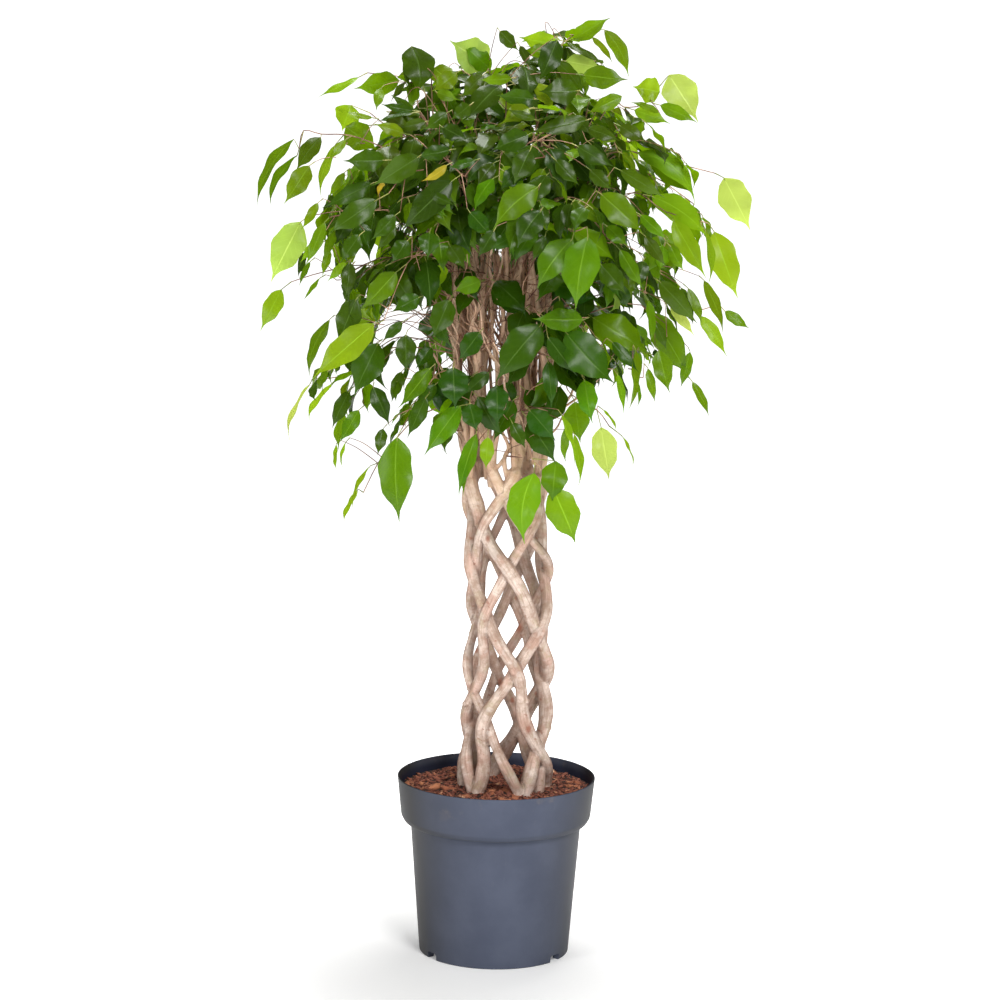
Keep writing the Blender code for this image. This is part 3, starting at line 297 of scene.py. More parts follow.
# More leaves that show: the same values, with how much further back each lies than the crown's front,
# and its tone last
MORE_LEAVES = (
    (-16.8, 117.7, -17.4, 115.1, 1.4, 1, 0, 0.45), (-12.4, 114.8, -17, 115.6, 1.2, 1, 0, 0.2),
    (-12.4, 114.8, -15.7, 117, 1.1, 2, 0, 0.2), (-13.9, 120.4, -12.7, 117.1, 0.7, 1, 0, 0.08),
    (-12.6, 114.5, -17.7, 113.6, 0.8, 0, 0, 0.05), (-13.7, 111.8, -17.7, 113.2, 1.6, 0, 0, 0.46),
    (-10.8, 113.4, -14.7, 112.4, 1.5, 1, 0, 0.12), (-16.2, 108.2, -21.7, 108.1, 2.8, -1, 0, 0.14),
    (-7.9, 107.7, -11.5, 105.6, 1.1, -1, -0.08, 1.1), (-16.4, 105.3, -17, 104.1, 0.8, 0, 0, 1.1),
    (-26.2, 107.3, -29.5, 102.1, 2.7, 1, 0, 0.42), (-17.8, 105.1, -24.5, 101.8, 2.2, 2, 0, 0),
    (-25, 102.4, -27.1, 98.7, 1.2, 1, 0, 0.48), (-24.1, 99.8, -26.5, 93.8, 1.6, 1, 0, 0.52),
    (-21.2, 94.5, -23.6, 92.1, 1.2, 0, 0, 0.75), (-20.7, 94.5, -21, 89.7, 1.9, 1, 0, 0.14),
    (-6.8, 119.9, -10, 117.3, 2.3, 1, 0, 0.4), (-9.4, 117.3, -6.4, 116.5, 1.5, 0, 0, 0.4),
    (-3.3, 119.7, -6.2, 116.6, 2.3, 1, 0, 0.26), (0.5, 119.3, -4, 119, 1.5, 0, 0, 0.48),
    (-8, 114.6, -11, 112.4, 1.9, 1, 0, 0.12), (-5, 115.7, -7.3, 113.9, 1.9, 0, 0, 0.28),
    (-8.6, 112.7, -5.2, 111.1, 2.2, 0, 0, 0.16), (-7.5, 109.7, -12.2, 108.8, 2, 0, 0, 0.08),
    (-4.2, 108.4, -7.9, 107.3, 1.2, 0, 0, 0.06), (-10.1, 103.7, -6.8, 102.7, 1.4, 0, 0, 0.1),
    (-20.7, 100.8, -22.6, 96.8, 2.2, 1, 0, 0.14), (-19.4, 98.2, -22, 94.5, 2.2, 1, 0, 0.2),
    (-25, 97.4, -27.3, 94.4, 1.2, 1, 0, 0.62), (-14.7, 100.9, -17.8, 97.5, 2, 1, 0, 0.2),
    (-13, 97.6, -15.1, 94.6, 2.4, 0, 0, 0.1), (-10.1, 98.7, -10.3, 95.3, 2.7, 0, 0, 0.12),
    (-7.4, 97, -5.2, 94, 2.2, 0, 0, 0.18), (-4.8, 101.5, -1.8, 98.3, 2.4, 0, 0, 0.08),
    (-23.4, 96.1, -24.4, 92.7, 1.1, 1, 0, 0.5), (7.6, 124.2, 13.6, 121.4, 1.1, 1, 0, 0.2),
    (9.9, 119.9, 15.9, 119.3, 3, -1, 0, 0.4), (6.3, 121.7, 10.4, 117.1, 1.9, 0, -0.04, 0.14),
    (6.4, 124.4, 4.2, 118.9, 3, 0, 0, 0.27), (6.4, 123.9, 1.2, 124.7, 2.6, 1, 0, 0.76),
    (-1.2, 125.5, 1.3, 122.9, 1.8, 1, 0, 0.2), (1.5, 123.6, 3.1, 120.7, 1.1, 0, 0, 0.15),
    (9.2, 117.8, 4, 117.6, 3.4, 0, 0, 0.02), (20.2, 116.1, 25.3, 114.1, 1.8, 0, 0, 0.4),
    (12.6, 104.2, 18.6, 99.2, 3.5, -1, 0, 0.3), (4.2, 105, -1.8, 99.4, 3.7, -2, 0.06, 0.3),
    (3.1, 109.9, 0.8, 105.2, 2.7, -1, 0, 0.18), (3.5, 116.6, -1.6, 117.1, 2.3, 0, 0, 0.08),
    (3.7, 113.9, -0.2, 115.2, 1.1, -1, 0, 0.2), (10.7, 114, 2.8, 112.4, 2.3, -1, 0, 0.2),
    (9.2, 114.5, 11, 112.3, 1.6, 0, 0, 0.06), (10.7, 112.9, 15.2, 111.4, 1.8, -1, 0, 0.2),
    (14.9, 113.3, 18.6, 111.2, 1.9, 0, 0, 0.26), (2.8, 111.9, -2.2, 109.9, 2.8, -1, 0, 0.24),
    (9.3, 110.5, 14.3, 107.7, 2.2, -1, 0, 0.18), (4.7, 102.6, 5.7, 99.1, 1.4, -1, 0, 0.25),
    (4.7, 101.8, 1.3, 96.8, 3.1, -1, 0.04, 0.27), (1.4, 98.7, -2.3, 96.5, 1.8, -1, 0, 0.1),
    (15.1, 107.4, 21.3, 103.9, 2, 0, 0, 0.24), (15.3, 96.8, 18.6, 91.5, 1.9, 0, 0, 0.35),
    (18.6, 98.7, 21.5, 94.5, 1.6, 0, 0, 0.18), (22, 97.4, 23.8, 94, 1.6, 1, 0, 0.3),
    (12.8, 94.8, 16.4, 90.9, 2.8, -1, 0, 0.12), (6.5, 108.6, 9.8, 105.3, 2, 0, 0, 0.14),
    (11.1, 107.4, 14.1, 104.7, 1.9, 0, 0, 0.14), (17.9, 101.5, 21.7, 98.2, 1.6, 0, 0, 0.46),
    (-24.7, 92.3, -27.2, 89.5, 0.5, 1, -0.1, 0.5), (-20.4, 94, -21, 89.4, 1.4, 1, 0, 0.15),
    (-19.8, 89.6, -22.3, 83.4, 3.1, 0, 0, 0.08), (-23.3, 86.8, -26.7, 79.1, 1.5, 1, 0.08, 0.5),
    (-16.8, 83.7, -20.2, 76.6, 4.1, 1, 0, 0.14), (-13.1, 84.9, -13, 79.7, 2.7, 0, 0, 0.16),
    (-9.7, 83.3, -11.7, 80.6, 1.8, 0, 0, 0.14), (-20.6, 77.2, -23.1, 72, 2, 2, 0, 0.1),
    (-19.3, 74.6, -21.8, 70.1, 2, 1, 0, 0.42), (-21, 70.2, -21.8, 66.7, 0.5, 1, 0.06, 0.75),
    (-22.3, 69.9, -22.6, 66.4, 0.5, 1, 0, 0.75), (-17.4, 77.8, -14.9, 72.6, 2.3, 0, 0, 0.1),
    (-14.2, 78.6, -14.5, 76.3, 0.5, 0, 0, 0.1), (-9.7, 80.5, -13.9, 75, 2.4, 0, 0, 0.32),
    (-10.3, 76.5, -12.8, 71, 2.2, -1, 0, 0.22), (-6.7, 80.6, -6.4, 75.1, 3.9, -1, 0, 0.1),
    (-16, 72.1, -16.7, 68.7, 1.6, 1, 0, 0.12), (-7.3, 89.7, -9.7, 84.4, 3.1, 0, 0, 0.22),
    (-11.3, 90, -15.1, 88.2, 2.3, 0, 0, 0.04), (-3.2, 85.4, -6.1, 81.5, 2.7, 0, 0, 0.28),
    (22.2, 89.5, 25.7, 85.5, 1.4, 0, 0, 0.85), (20.6, 92.7, 26.1, 87, 2.6, 1, 0, 0.18),
    (26.6, 92.9, 30, 86, 1.6, 1, 0, 0.5), (7.9, 74.5, 10.7, 67.3, 1.1, -1, 0, 0.75),
    (1.3, 73.3, 3.3, 69.7, 1.8, 0, 0, 0.04), (15.3, 80.1, 16.7, 74.7, 1.1, 0, 0, 0.8),
    (18.1, 79, 18.5, 75.6, 0.5, 0, 0, 0.4), (19.4, 80.9, 20.5, 76.1, 1.2, 0, 0, 0.45),
    (20.8, 83.4, 22.2, 77.6, 2.6, 0, 0, 0.35), (6, 81.7, 6.8, 75.2, 1.9, 0, 0, 0.2),
    (3.6, 75, 7.4, 71, 3.3, 1, 0, 0.1), (13.5, 75.2, 16, 72.3, 0.4, 0, 0, 0.6),
    (5.7, 122.9, 1.9, 123.1, 1.9, 0, 0, 0.45), (11, 124.9, 14, 121.5, 0.9, 1, -0.06, 0.5),
    (-0.8, 78.3, -0.6, 72.7, 3.1, 0, 0, 0.14), (-4.4, 75.7, -3.5, 71.9, 2.8, 1, 0, 0.08),
    (-1.9, 80, -5.2, 77.1, 1.9, 1, 0, 0.22), (5.3, 98.5, 3.6, 95, 1.6, 1, 0, 0.24),
    (13.5, 99.9, 16.4, 97.3, 2, 0, 0, 0.3), (-14.6, 99.5, -17.2, 96.1, 1.5, 1, 0, 0.1),
    (1.8, 107.5, -0.8, 104.5, 2.2, 2, 0, 0.1), (-1.5, 99.1, -3.6, 95.4, 1.9, 1, 0, 0.06),
    (13.2, 94.3, 15.5, 90.1, 1.5, 2, 0, 0.12), (7.4, 89.9, 7, 86.9, 1.5, 2, 0, 0.2),
    (14.5, 84.4, 18.3, 80.4, 1.6, 1, 0, 0.2), (18.3, 83.1, 17.3, 78.7, 1.2, 1, 0, 0.42),
    (20.2, 87.2, 22, 83.4, 1.4, 1, 0, 0.2), (-9, 78.3, -11.8, 75, 1.8, 1, 0, 0.22),
    (-21.4, 110.8, -23.7, 108.1, 1.1, 1, 0, 0.35), (-21.5, 106.5, -23.7, 103.0, 1.1, 1, 0, 0.4),
    (-13.6, 86.6, -16.3, 84.0, 1.4, 0, 0, 0.2), (-13.6, 79.9, -15.1, 75.6, 1.6, 1, 0, 0.15),
    (-6.8, 76.4, -8.7, 74.6, 0.9, 0, 0, 0.32), (8.7, 72.9, 8.1, 67.7, 1.2, 0, 0, 0.3),
    (9.7, 71.8, 11.3, 65.0, 0.9, 0, 0, 0.65), (17.7, 83.4, 17.7, 74.7, 1.4, 0, 0, 0.3),
    (25.0, 83.2, 23.8, 78.2, 1.5, 1, 0, 0.3), (24.5, 91.8, 26.9, 87.0, 1.2, 1, 0, 0.3),
    (26.6, 99.6, 28.1, 92.4, 0.9, 1, 0, 0.66), (20.1, 115.1, 16.1, 116.8, 0.9, 1, 0, 0.4),
    (-18.8, 80.3, -24.1, 78.5, 0.5, 1, -0.05, 0.4), (-4.5, 68.3, -5.5, 63.1, 0.9, -1, 0, 0.5),
    (-17.9, 113.8, -21.5, 115.0, 0.8, 0, -0.08, 0.35), (19.2, 90.1, 20.3, 84.1, 1.2, 1, 0, 0.4),
    (-26.0, 94.5, -27.6, 91.3, 0.8, 1, 0, 0.45), (-22.7, 98.8, -24.4, 94.5, 1.2, 1, 0, 0.3),
)

# Openings through the crown: place on the middle plane, half width and half height in cm
OPENINGS = (
    (-14, 84, 3, 4), (9.2, 73.7, 2.7, 4.1), (25.7, 92.2, 2.4, 5.6), (25.7, 83.2, 2.6, 3.7),
    (-19.4, 115.3, 3.2, 2.7), (-8.2, 121.8, 2.7, 1.8), (-0.6, 122.5, 1.8, 1.5), (13.3, 117.8, 2.8, 1.2),
    (-10.8, 116.1, 1.2, 2.1), (-19.2, 93.2, 1.1, 2.4), (-13.3, 77.3, 1, 1.6), (-10.5, 72.8, 2, 2.2),
    (-24.2, 105.2, 1.1, 2.4), (-14.5, 117.4, 1.5, 0.7), (11.6, 123.2, 1.8, 1.2), (9.3, 78.7, 1.1, 1),
    (14, 77.9, 0.9, 1), (16, 105.6, 1, 1.5), (20.9, 100.9, 1.1, 1.2), (-16.1, 111, 1.2, 0.6),
    (-2.7, 81.9, 0.7, 1), (-1.3, 117.6, 1.3, 0.9), (-21.8, 89.2, 0.6, 1.2), (12.1, 85.4, 1, 1),
    (22.6, 104.8, 1.1, 0.6), (21.1, 90.3, 0.7, 0.6), (17.6, 96.1, 0.6, 0.9), (-9.7, 83.8, 0.6, 0.7),
    (-7.1, 69.8, 1.8, 2.1), (-23.6, 82.5, 0.9, 1.6), (-25.1, 84.7, 1, 1.1), (14.3, 116.1, 1, 0.9),
)

# The crown's outline from the front, on the middle plane in cm
OUTLINE = (
    (-14.3, 121.5), (-10.4, 123.5), (-7.1, 124.2), (-3.8, 123.6), (-0.5, 125.0), (4.8, 125.1), (8.7, 125.8),
    (12.0, 125.8), (15.4, 120.6), (15.9, 117.4), (18.8, 117.4), (21.7, 118.1), (25.5, 114.5), (24.3, 110.2),
    (25.8, 104.9), (27.5, 99.6), (28.1, 91.6), (30.9, 86.3), (28.3, 84.2), (25.9, 84.8), (26.0, 78.8),
    (22.7, 79.7), (19.7, 80.4), (16.3, 80.4), (14.7, 77.6), (13.1, 76.5), (11.2, 71.0), (10.6, 66.9),
    (9.2, 69.0), (7.2, 66.9), (-5.6, 65.3), (-8.3, 70.7), (-11.7, 70.6), (-14.4, 69.2), (-17.0, 66.5),
    (-20.4, 62.3), (-22.0, 58.8), (-21.1, 65.0), (-19.8, 70.5), (-21.8, 67.7), (-23.1, 70.5), (-21.2, 75.9),
    (-22.5, 78.6), (-26.5, 73.1), (-30.1, 70.3), (-27.2, 76.5), (-23.9, 80.6), (-25.9, 84.6), (-22.6, 87.0),
    (-22.0, 90.8), (-22.7, 94.5), (-26.7, 95.4), (-27.3, 91.3), (-32.4, 85.9), (-32.0, 89.9), (-29.3, 92.0),
    (-27.4, 96.0), (-28.7, 100.7), (-31.4, 103.3), (-34.1, 101.9), (-32.5, 106.6), (-28.8, 110.7),
    (-23.5, 111.4), (-21.5, 114.8), (-23.1, 117.4), (-21.6, 119.0), (-17.6, 119.8),
)
# How far the crown reaches to the front at these heights
FRONT_HEIGHTS = (0.62, 0.75, 0.90, 1.05, 1.15, 1.22, 1.28)
FRONT_REACH = (0.09, 0.12, 0.18, 0.215, 0.17, 0.09, 0.05)

# Camera and lights
EYE_DISTANCE = 5.0
EYE_HEIGHT = 1.509
EYE_SIDE = -0.0013
EYE_PITCH = 10.01
EYE_ROLL = 0.96
LENS = 135.5
# Lights: place, the point that they face, size and power
LIGHTS = (
    ("key", (1.3, -3.4, 3.1), (0, 0, 0.8), (1.3, 1.3), 140),
    ("fill", (-2.8, -2.4, 1.6), (0, 0, 0.8), (0.9, 1.6), 50),
    ("top", (0.2, 0.6, 3.2), (0, 0, 1.0), (1.2, 1.2), 90),
)
EYE = Vector((EYE_SIDE, -EYE_DISTANCE, EYE_HEIGHT))

# The finer sprays between those of the solids: how many are tried, the share of the crown's reach at which
# their twigs end, the lengths of their leaves, the first and the last point of a twig that holds leaves,
# and the heights of the lowest and the highest spray
FILLS = (
    ("outer", 146, (0.50, 1.00), (0.040, 0.064), (4, 14), (0.76, 1.245)),
    ("inner", 96, (0.22, 0.66), (0.028, 0.046), (3, 14), (0.95, 1.235)),
)
# Steps between the points of a finer twig, and the least gap round it and round its leaves
FILL_SPANS = (1, 4, 6, 3)
FILL_ROOM = 0.0002
# How high their twigs end: shares of their number, and of the rise from the lowest to the highest
FILL_SHARES = (0.0, 0.10, 0.35, 0.70, 0.90, 1.0)
FILL_RISE = (0.0, 0.14, 0.40, 0.72, 0.89, 1.0)
# How far the crown reaches round the trunk at these heights
REACH_HEIGHTS = (0.72, 0.80, 0.90, 1.00, 1.08, 1.15, 1.21, 1.25)
FILL_REACH = (0.20, 0.25, 0.275, 0.285, 0.265, 0.215, 0.13, 0.06)
# Half the width and the top of the gap between the upright branches that no leaf behind them fills
GAP_BEHIND = (0.075, 0.87)

# Leaves that show: the least length, the least width as a share of it, and how far to the front one is
# drawn at most to stand before others
LEAST_LENGTH = 0.038
LEAST_SHARE = 0.24
NEAREST = -0.262
# Share of a blade's width at these shares of its length
SPAN = {0.0: 0.1, 0.15: 0.7, 0.3: 1.0, 0.45: 1.0, 0.6: 0.85, 0.8: 0.35, 1.0: 0.05}

# A blade's half width, as a share of the greatest, and how far its end bends down, at shares of its length
BLADE_OUTLINE = (
    (0.0, 0.03), (0.03, 0.22), (0.08, 0.50), (0.16, 0.78), (0.27, 0.96), (0.38, 1.0), (0.50, 0.94),
    (0.60, 0.80), (0.68, 0.60), (0.75, 0.37), (0.81, 0.19), (0.87, 0.09), (1.0, 0.014),
)
TIP_DROOP = ((0.0, 0.0), (0.62, 0.0), (0.80, 0.22), (1.0, 1.0))
# Name of each kind of leaf, the highest tone that it covers, its face's colours, the light that comes
# through it, and how much of its look that light makes
LEAF_KINDS = (
    ("deep_leaf", 0.30, (0.011, 0.030, 0.001), (0.038, 0.082, 0.002), (0.13, 0.28, 0.003), 0.20),
    ("green_leaf", 0.58, (0.038, 0.092, 0.001), (0.106, 0.200, 0.002), (0.27, 0.52, 0.003), 0.32),
    ("bright_leaf", 0.82, (0.090, 0.215, 0.003), (0.185, 0.340, 0.010), (0.42, 0.66, 0.012), 0.42),
    ("fresh_leaf", 1.01, (0.270, 0.410, 0.040), (0.410, 0.540, 0.110), (0.60, 0.78, 0.130), 0.48),
    ("fading_leaf", 1.20, (0.240, 0.150, 0.010), (0.480, 0.330, 0.020), (0.55, 0.38, 0.020), 0.35),
)
# How far a blade is folded, arched and turned aside, for the leaves that show and for the others
SHOWN_CUP = ((0.25, 0.65), (0.25, 0.45), (-0.03, 0.03))
CUP = ((0.25, 0.80), (0.25, 0.60), (-0.14, 0.14))
# Half the crown's width. For the leaves' tone and warmth, the height of its middle and half its height
CROWN_HALF_WIDTH = 0.33
TONE_MIDDLE, TONE_HALF = 0.90, 0.40
WARMTH_MIDDLE, WARMTH_HALF = 0.84, 0.46

# Woven trunk and upright branches, as they show
STEM_FINE_STEP = 0.006
STEM_SIDES_SHOWN = 16
VOXEL = 0.0015
TRUNK_TRIANGLES = 186000
CREASE_ROUNDS, CREASE_SHARE = 10, 0.5
CREASE_DEPTH = 0.00019
SHADE_REACH = 0.022
STUBS = 30
LIMB_SWELL = 1.25
LIMB_STEPS = 34
LIMB_FOOT_TOP = 0.78
INNER_LIMBS = 28
# Side branches and fine twigs: how many are tried, the ranges of their lengths, their radii and their rise
# in degrees, and the heights between which they leave
SIDE_LIMBS = (70, (0.06, 0.16), (0.0016, 0.0034), (45, 80), 0.70, 1.05)
LONG_TWIGS = (240, (0.03, 0.11), (0.0006, 0.0012), (-10, 80), 0.69, 1.16)
SIDE_TWIGS = (120, (0.02, 0.07), (0.0005, 0.0008), (-30, 80), 0.68, 1.18)
LOW_TWIGS = (130, (0.03, 0.08), (0.0008, 0.0014), (-30, 75), 0.67, 0.95)
# Below this height, no fine twig stands further than this beside the trunk's middle
BARE_TOP, BARE_HALF_WIDTH = 0.95, 0.080
# Thickness of the shown twigs as a share of the solids': of the finer sprays, and of the others
FILL_TWIG_SHARE, TWIG_SHARE = 0.34, 0.55
STALK_RADII = (0.0008, 0.0007, 0.0006, 0.0006, 0.0004)
# Brown knots that show on the weave: place on the middle plane and radius in cm
KNOTS = (
    (2.7, 45.1, 0.67), (0.3, 37.5, 0.58), (4.3, 31.0, 0.64), (0.4, 29.4, 0.54),
    (-1.7, 57.3, 0.54), (-0.6, 60.2, 0.54), (2.0, 35.0, 0.45), (-3.0, 41.9, 0.48),
)
# Limbs that show above the weave: places in cm to the right, to the back and up, with the thickness in mm
SEEN_LIMBS = (
    ((4.4, -5.2, 68.5, 10), (4.9, -5.6, 73.5, 11), (5.4, -5.8, 79.5, 10), (5.2, -5.9, 85.0, 9),
     (4.4, -6.0, 90.5, 8), (3.4, -6.4, 96.5, 7)),
    ((2.7, -5.0, 69.5, 9), (1.5, -5.6, 74.0, 10), (1.0, -5.9, 79.5, 9), (0.7, -6.1, 86.5, 11),
     (1.4, -6.3, 91.5, 11), (2.1, -6.4, 95.5, 9), (2.6, -6.6, 99.0, 7)),
    ((0.9, -6.2, 91.0, 8), (-0.3, -6.3, 93.5, 7), (-1.1, -6.0, 96.5, 6)),
    ((-4.2, -4.2, 66.5, 9), (-3.9, -4.8, 72.0, 7), (-3.6, -5.0, 78.5, 6), (-2.9, -5.2, 86.0, 5),
     (-3.4, -5.3, 93.5, 4)),
    ((3.7, -4.0, 69.0, 8), (3.4, -4.2, 76.0, 7), (3.1, -4.4, 83.0, 6), (3.9, -4.5, 90.0, 5),
     (4.2, -4.8, 97.0, 4)),
    ((-1.9, -3.0, 66.0, 8), (-2.6, -3.2, 74.0, 6), (-2.2, -3.5, 83.0, 6), (-1.2, -3.8, 90.0, 5),
     (-1.6, -4.0, 98.0, 4)),
    ((5.6, -3.2, 67.5, 8), (6.2, -3.6, 75.0, 7), (6.0, -3.8, 83.5, 6), (5.6, -4.2, 92.0, 5)),
    ((1.0, -4.6, 65.5, 6), (0.4, -4.9, 69.0, 6), (1.5, -4.8, 72.0, 5), (0.6, -5.0, 77.0, 4),
     (1.2, -5.2, 84.0, 3)),
    ((2.5, -4.4, 66.5, 6), (1.6, -4.8, 69.5, 5), (2.7, -4.9, 73.0, 5), (2.0, -5.0, 79.0, 4),
     (2.6, -5.2, 86.0, 3)),
    ((-0.8, -4.6, 67.5, 5), (0.9, -5.0, 70.5, 5), (-0.3, -5.0, 74.0, 4), (0.5, -5.0, 80.0, 4),
     (-0.4, -5.2, 87.0, 3)),
)


# Nodes


class Value:
    """A socket that takes part in arithmetic. Each expression adds its Math nodes."""

    def __init__(self, nodes, socket):
        self.nodes, self.socket = nodes, socket

    def math(self, operation, *terms):
        return self.nodes.add("ShaderNodeMath", {"operation": operation}, dict(enumerate(terms)))

    def __add__(self, other):
        return self.math("ADD", self, other)

    def __sub__(self, other):
        return self.math("SUBTRACT", self, other)

    def __rsub__(self, other):
        return self.math("SUBTRACT", other, self)

    def __mul__(self, other):
        return self.math("MULTIPLY", self, other)

    __radd__, __rmul__ = __add__, __mul__

    def sine(self):
        return self.math("SINE", self)

    def size(self):
        return self.math("ABSOLUTE", self)

    def ramp(self, low, high):
        """0 below low, 1 above high and smooth between them."""
        settings = {"interpolation_type": "SMOOTHSTEP"}
        return self.nodes.add("ShaderNodeMapRange", settings, {0: self, 1: low, 2: high})

    def vector(self, operation, other=None, name="Vector"):
        terms = {0: self} if other is None else {0: self, ("Scale" if operation == "SCALE" else 1): other}
        return self.nodes.add("ShaderNodeVectorMath", {"operation": operation}, terms, name)

    def part(self, axis):
        return self.nodes.add("ShaderNodeSeparateXYZ", {}, {0: self}, axis)


class Nodes:
    """Adds nodes to a tree."""

    def __init__(self, tree):
        self.tree = tree

    def add(self, kind, settings, inputs, output=0):
        """A node with its settings, and values or links in its sockets. It returns one of its outputs."""
        node = self.tree.nodes.new(kind)
        for name, value in settings.items():
            if name == "stops":
                fill_ramp(node.color_ramp, value)
            elif name == "curve":
                fill_curve(node.mapping, value)
            else:
                setattr(node, name, value)
        for name, value in inputs.items():
            if isinstance(value, Value):
                self.tree.links.new(value.socket, node.inputs[name])
            else:
                node.inputs[name].default_value = value
        return Value(self, node.outputs[output]) if node.outputs else node

    def blend(self, share, first, second):
        """A colour between two colours."""
        first, second = [c if isinstance(c, Value) else (*c, 1) for c in (first, second)]
        return self.add("ShaderNodeMix", {"data_type": "RGBA"}, {0: share, 6: first, 7: second}, 2)

    def over(self, colour, *layers):
        """A colour with others laid over it, each by its share."""
        for share, top in layers:
            colour = self.blend(share, colour, top)
        return colour

    def noise(self, place, scale, detail=3.0, roughness=0.55):
        inputs = {"Vector": place, "Scale": scale, "Detail": detail, "Roughness": roughness}
        return self.add("ShaderNodeTexNoise", {}, inputs)

    def drawn_out(self, place, scale):
        """Places that make noise longer one way than another."""
        return self.add("ShaderNodeMapping", {}, {0: place, "Scale": scale})

    def place(self):
        return self.add("ShaderNodeTexCoord", {}, {}, "Object")

    def mark(self, name, output="Fac"):
        """What is stored on the piece under a name."""
        return self.add("ShaderNodeAttribute", {"attribute_name": name}, {}, output)

    def edge(self):
        """0 where the surface faces the eye, 1 where it turns away."""
        return self.add("ShaderNodeLayerWeight", {}, {"Blend": 0.5}, "Facing")

    def vector(self, x, y, z):
        return self.add("ShaderNodeCombineXYZ", {}, {0: x, 1: y, 2: z})

    def bump(self, strength, distance, height):
        inputs = {"Strength": strength, "Distance": distance, "Height": height}
        return self.add("ShaderNodeBump", {}, inputs)

    def skin(self, colour, rough, others):
        """A solid surface with this colour and roughness."""
        inputs = {"Base Color": colour, "Roughness": rough, **others}
        return self.add("ShaderNodeBsdfPrincipled", {}, inputs)

    def show(self, shader):
        self.add("ShaderNodeOutputMaterial", {}, {"Surface": shader})


def fill_ramp(ramp, stops):
    while len(ramp.elements) > 1:
        ramp.elements.remove(ramp.elements[-1])
    for i, (place, colour) in enumerate(stops):
        element = ramp.elements[0] if i == 0 else ramp.elements.new(place)
        element.position = place
        element.color = (*colour, 1.0)


def fill_curve(mapping, points):
    curve = mapping.curves[0]
    while len(curve.points) > 2:
        curve.points.remove(curve.points[1])
    curve.points[0].location = points[0]
    curve.points[-1].location = points[-1]
    for point in points[1:-1]:
        curve.points.new(*point)
    mapping.update()


def new_material(name):
    """A material with an empty tree, and its nodes."""
    material = bpy.data.materials.new(name)
    material.use_nodes = True
    material.node_tree.nodes.clear()
    return material, Nodes(material.node_tree)


# Materials


def pot_plastic():
    """Dusty moulded plastic, with painted shade towards its edges, on its left side and on the pot's inner
    side.
    """
    material, nodes = new_material("pot_plastic")
    place = nodes.place()
    cloud = nodes.noise(place, 14.0, 4.0)
    speck = nodes.noise(place, 420.0, 2.0)
    scuffs = nodes.noise(nodes.drawn_out(place, (60.0, 60.0, 5.0)), 1.0, 5.0, 0.7).ramp(0.62, 0.80)
    height = place.part("Z")
    radius = place.vector("MULTIPLY", (1.0, 1.0, 0.0)).vector("LENGTH", name="Value")
    dust = nodes.noise(place, 34.0, 5.0, 0.65).ramp(0.55, 0.78) * height.ramp(0.190, 0.240)
    # Painted shade on the pot's inner wall above the soil
    inside = height.ramp(0.222, 0.226) * (1.0 - radius.ramp(0.1312, 0.1322))
    # Painted shade where the surface turns away from the eye, more on the collar
    edge = nodes.edge().ramp(0.10, 0.85) * (0.76 + 0.20 * height.ramp(0.184, 0.192))
    # Painted shade on the left side, away from the key light
    left = 1.0 - place.part("X").ramp(-0.130, 0.010)
    colour = nodes.over(
        nodes.blend(cloud.ramp(0.3, 0.7), (0.062, 0.072, 0.106), (0.080, 0.092, 0.132)),
        (scuffs * 0.25, (0.160, 0.175, 0.200)),
        (dust * 0.45, (0.210, 0.175, 0.145)),
        # Painted shade at the edges and on the left side
        (edge + left * 0.34, (0.034, 0.034, 0.036)),
        # Painted shade inside the pot
        (inside * 0.75, (0.010, 0.012, 0.030)),
    )
    rough = 0.46 + cloud * 0.12 + scuffs * 0.12 + dust * 0.2
    bump = nodes.bump(0.12, 0.0004, speck + scuffs * 0.4)
    nodes.show(nodes.skin(colour, rough, {"Normal": bump, "Specular IOR Level": 0.12}))
    return material


def soil_material(name, stops, bump_scale):
    """Bark and coir. Each chip's own look is in its attribute."""
    material, nodes = new_material(name)
    grain = nodes.noise(nodes.place(), bump_scale, 4.0, 0.65)
    share = nodes.mark("look") + (grain - 0.5) * 0.4
    colour = nodes.add("ShaderNodeValToRGB", {"stops": stops}, {"Fac": share})
    nodes.show(nodes.skin(colour, 0.9, {"Normal": nodes.bump(0.7, 0.0012, grain)}))
    return material


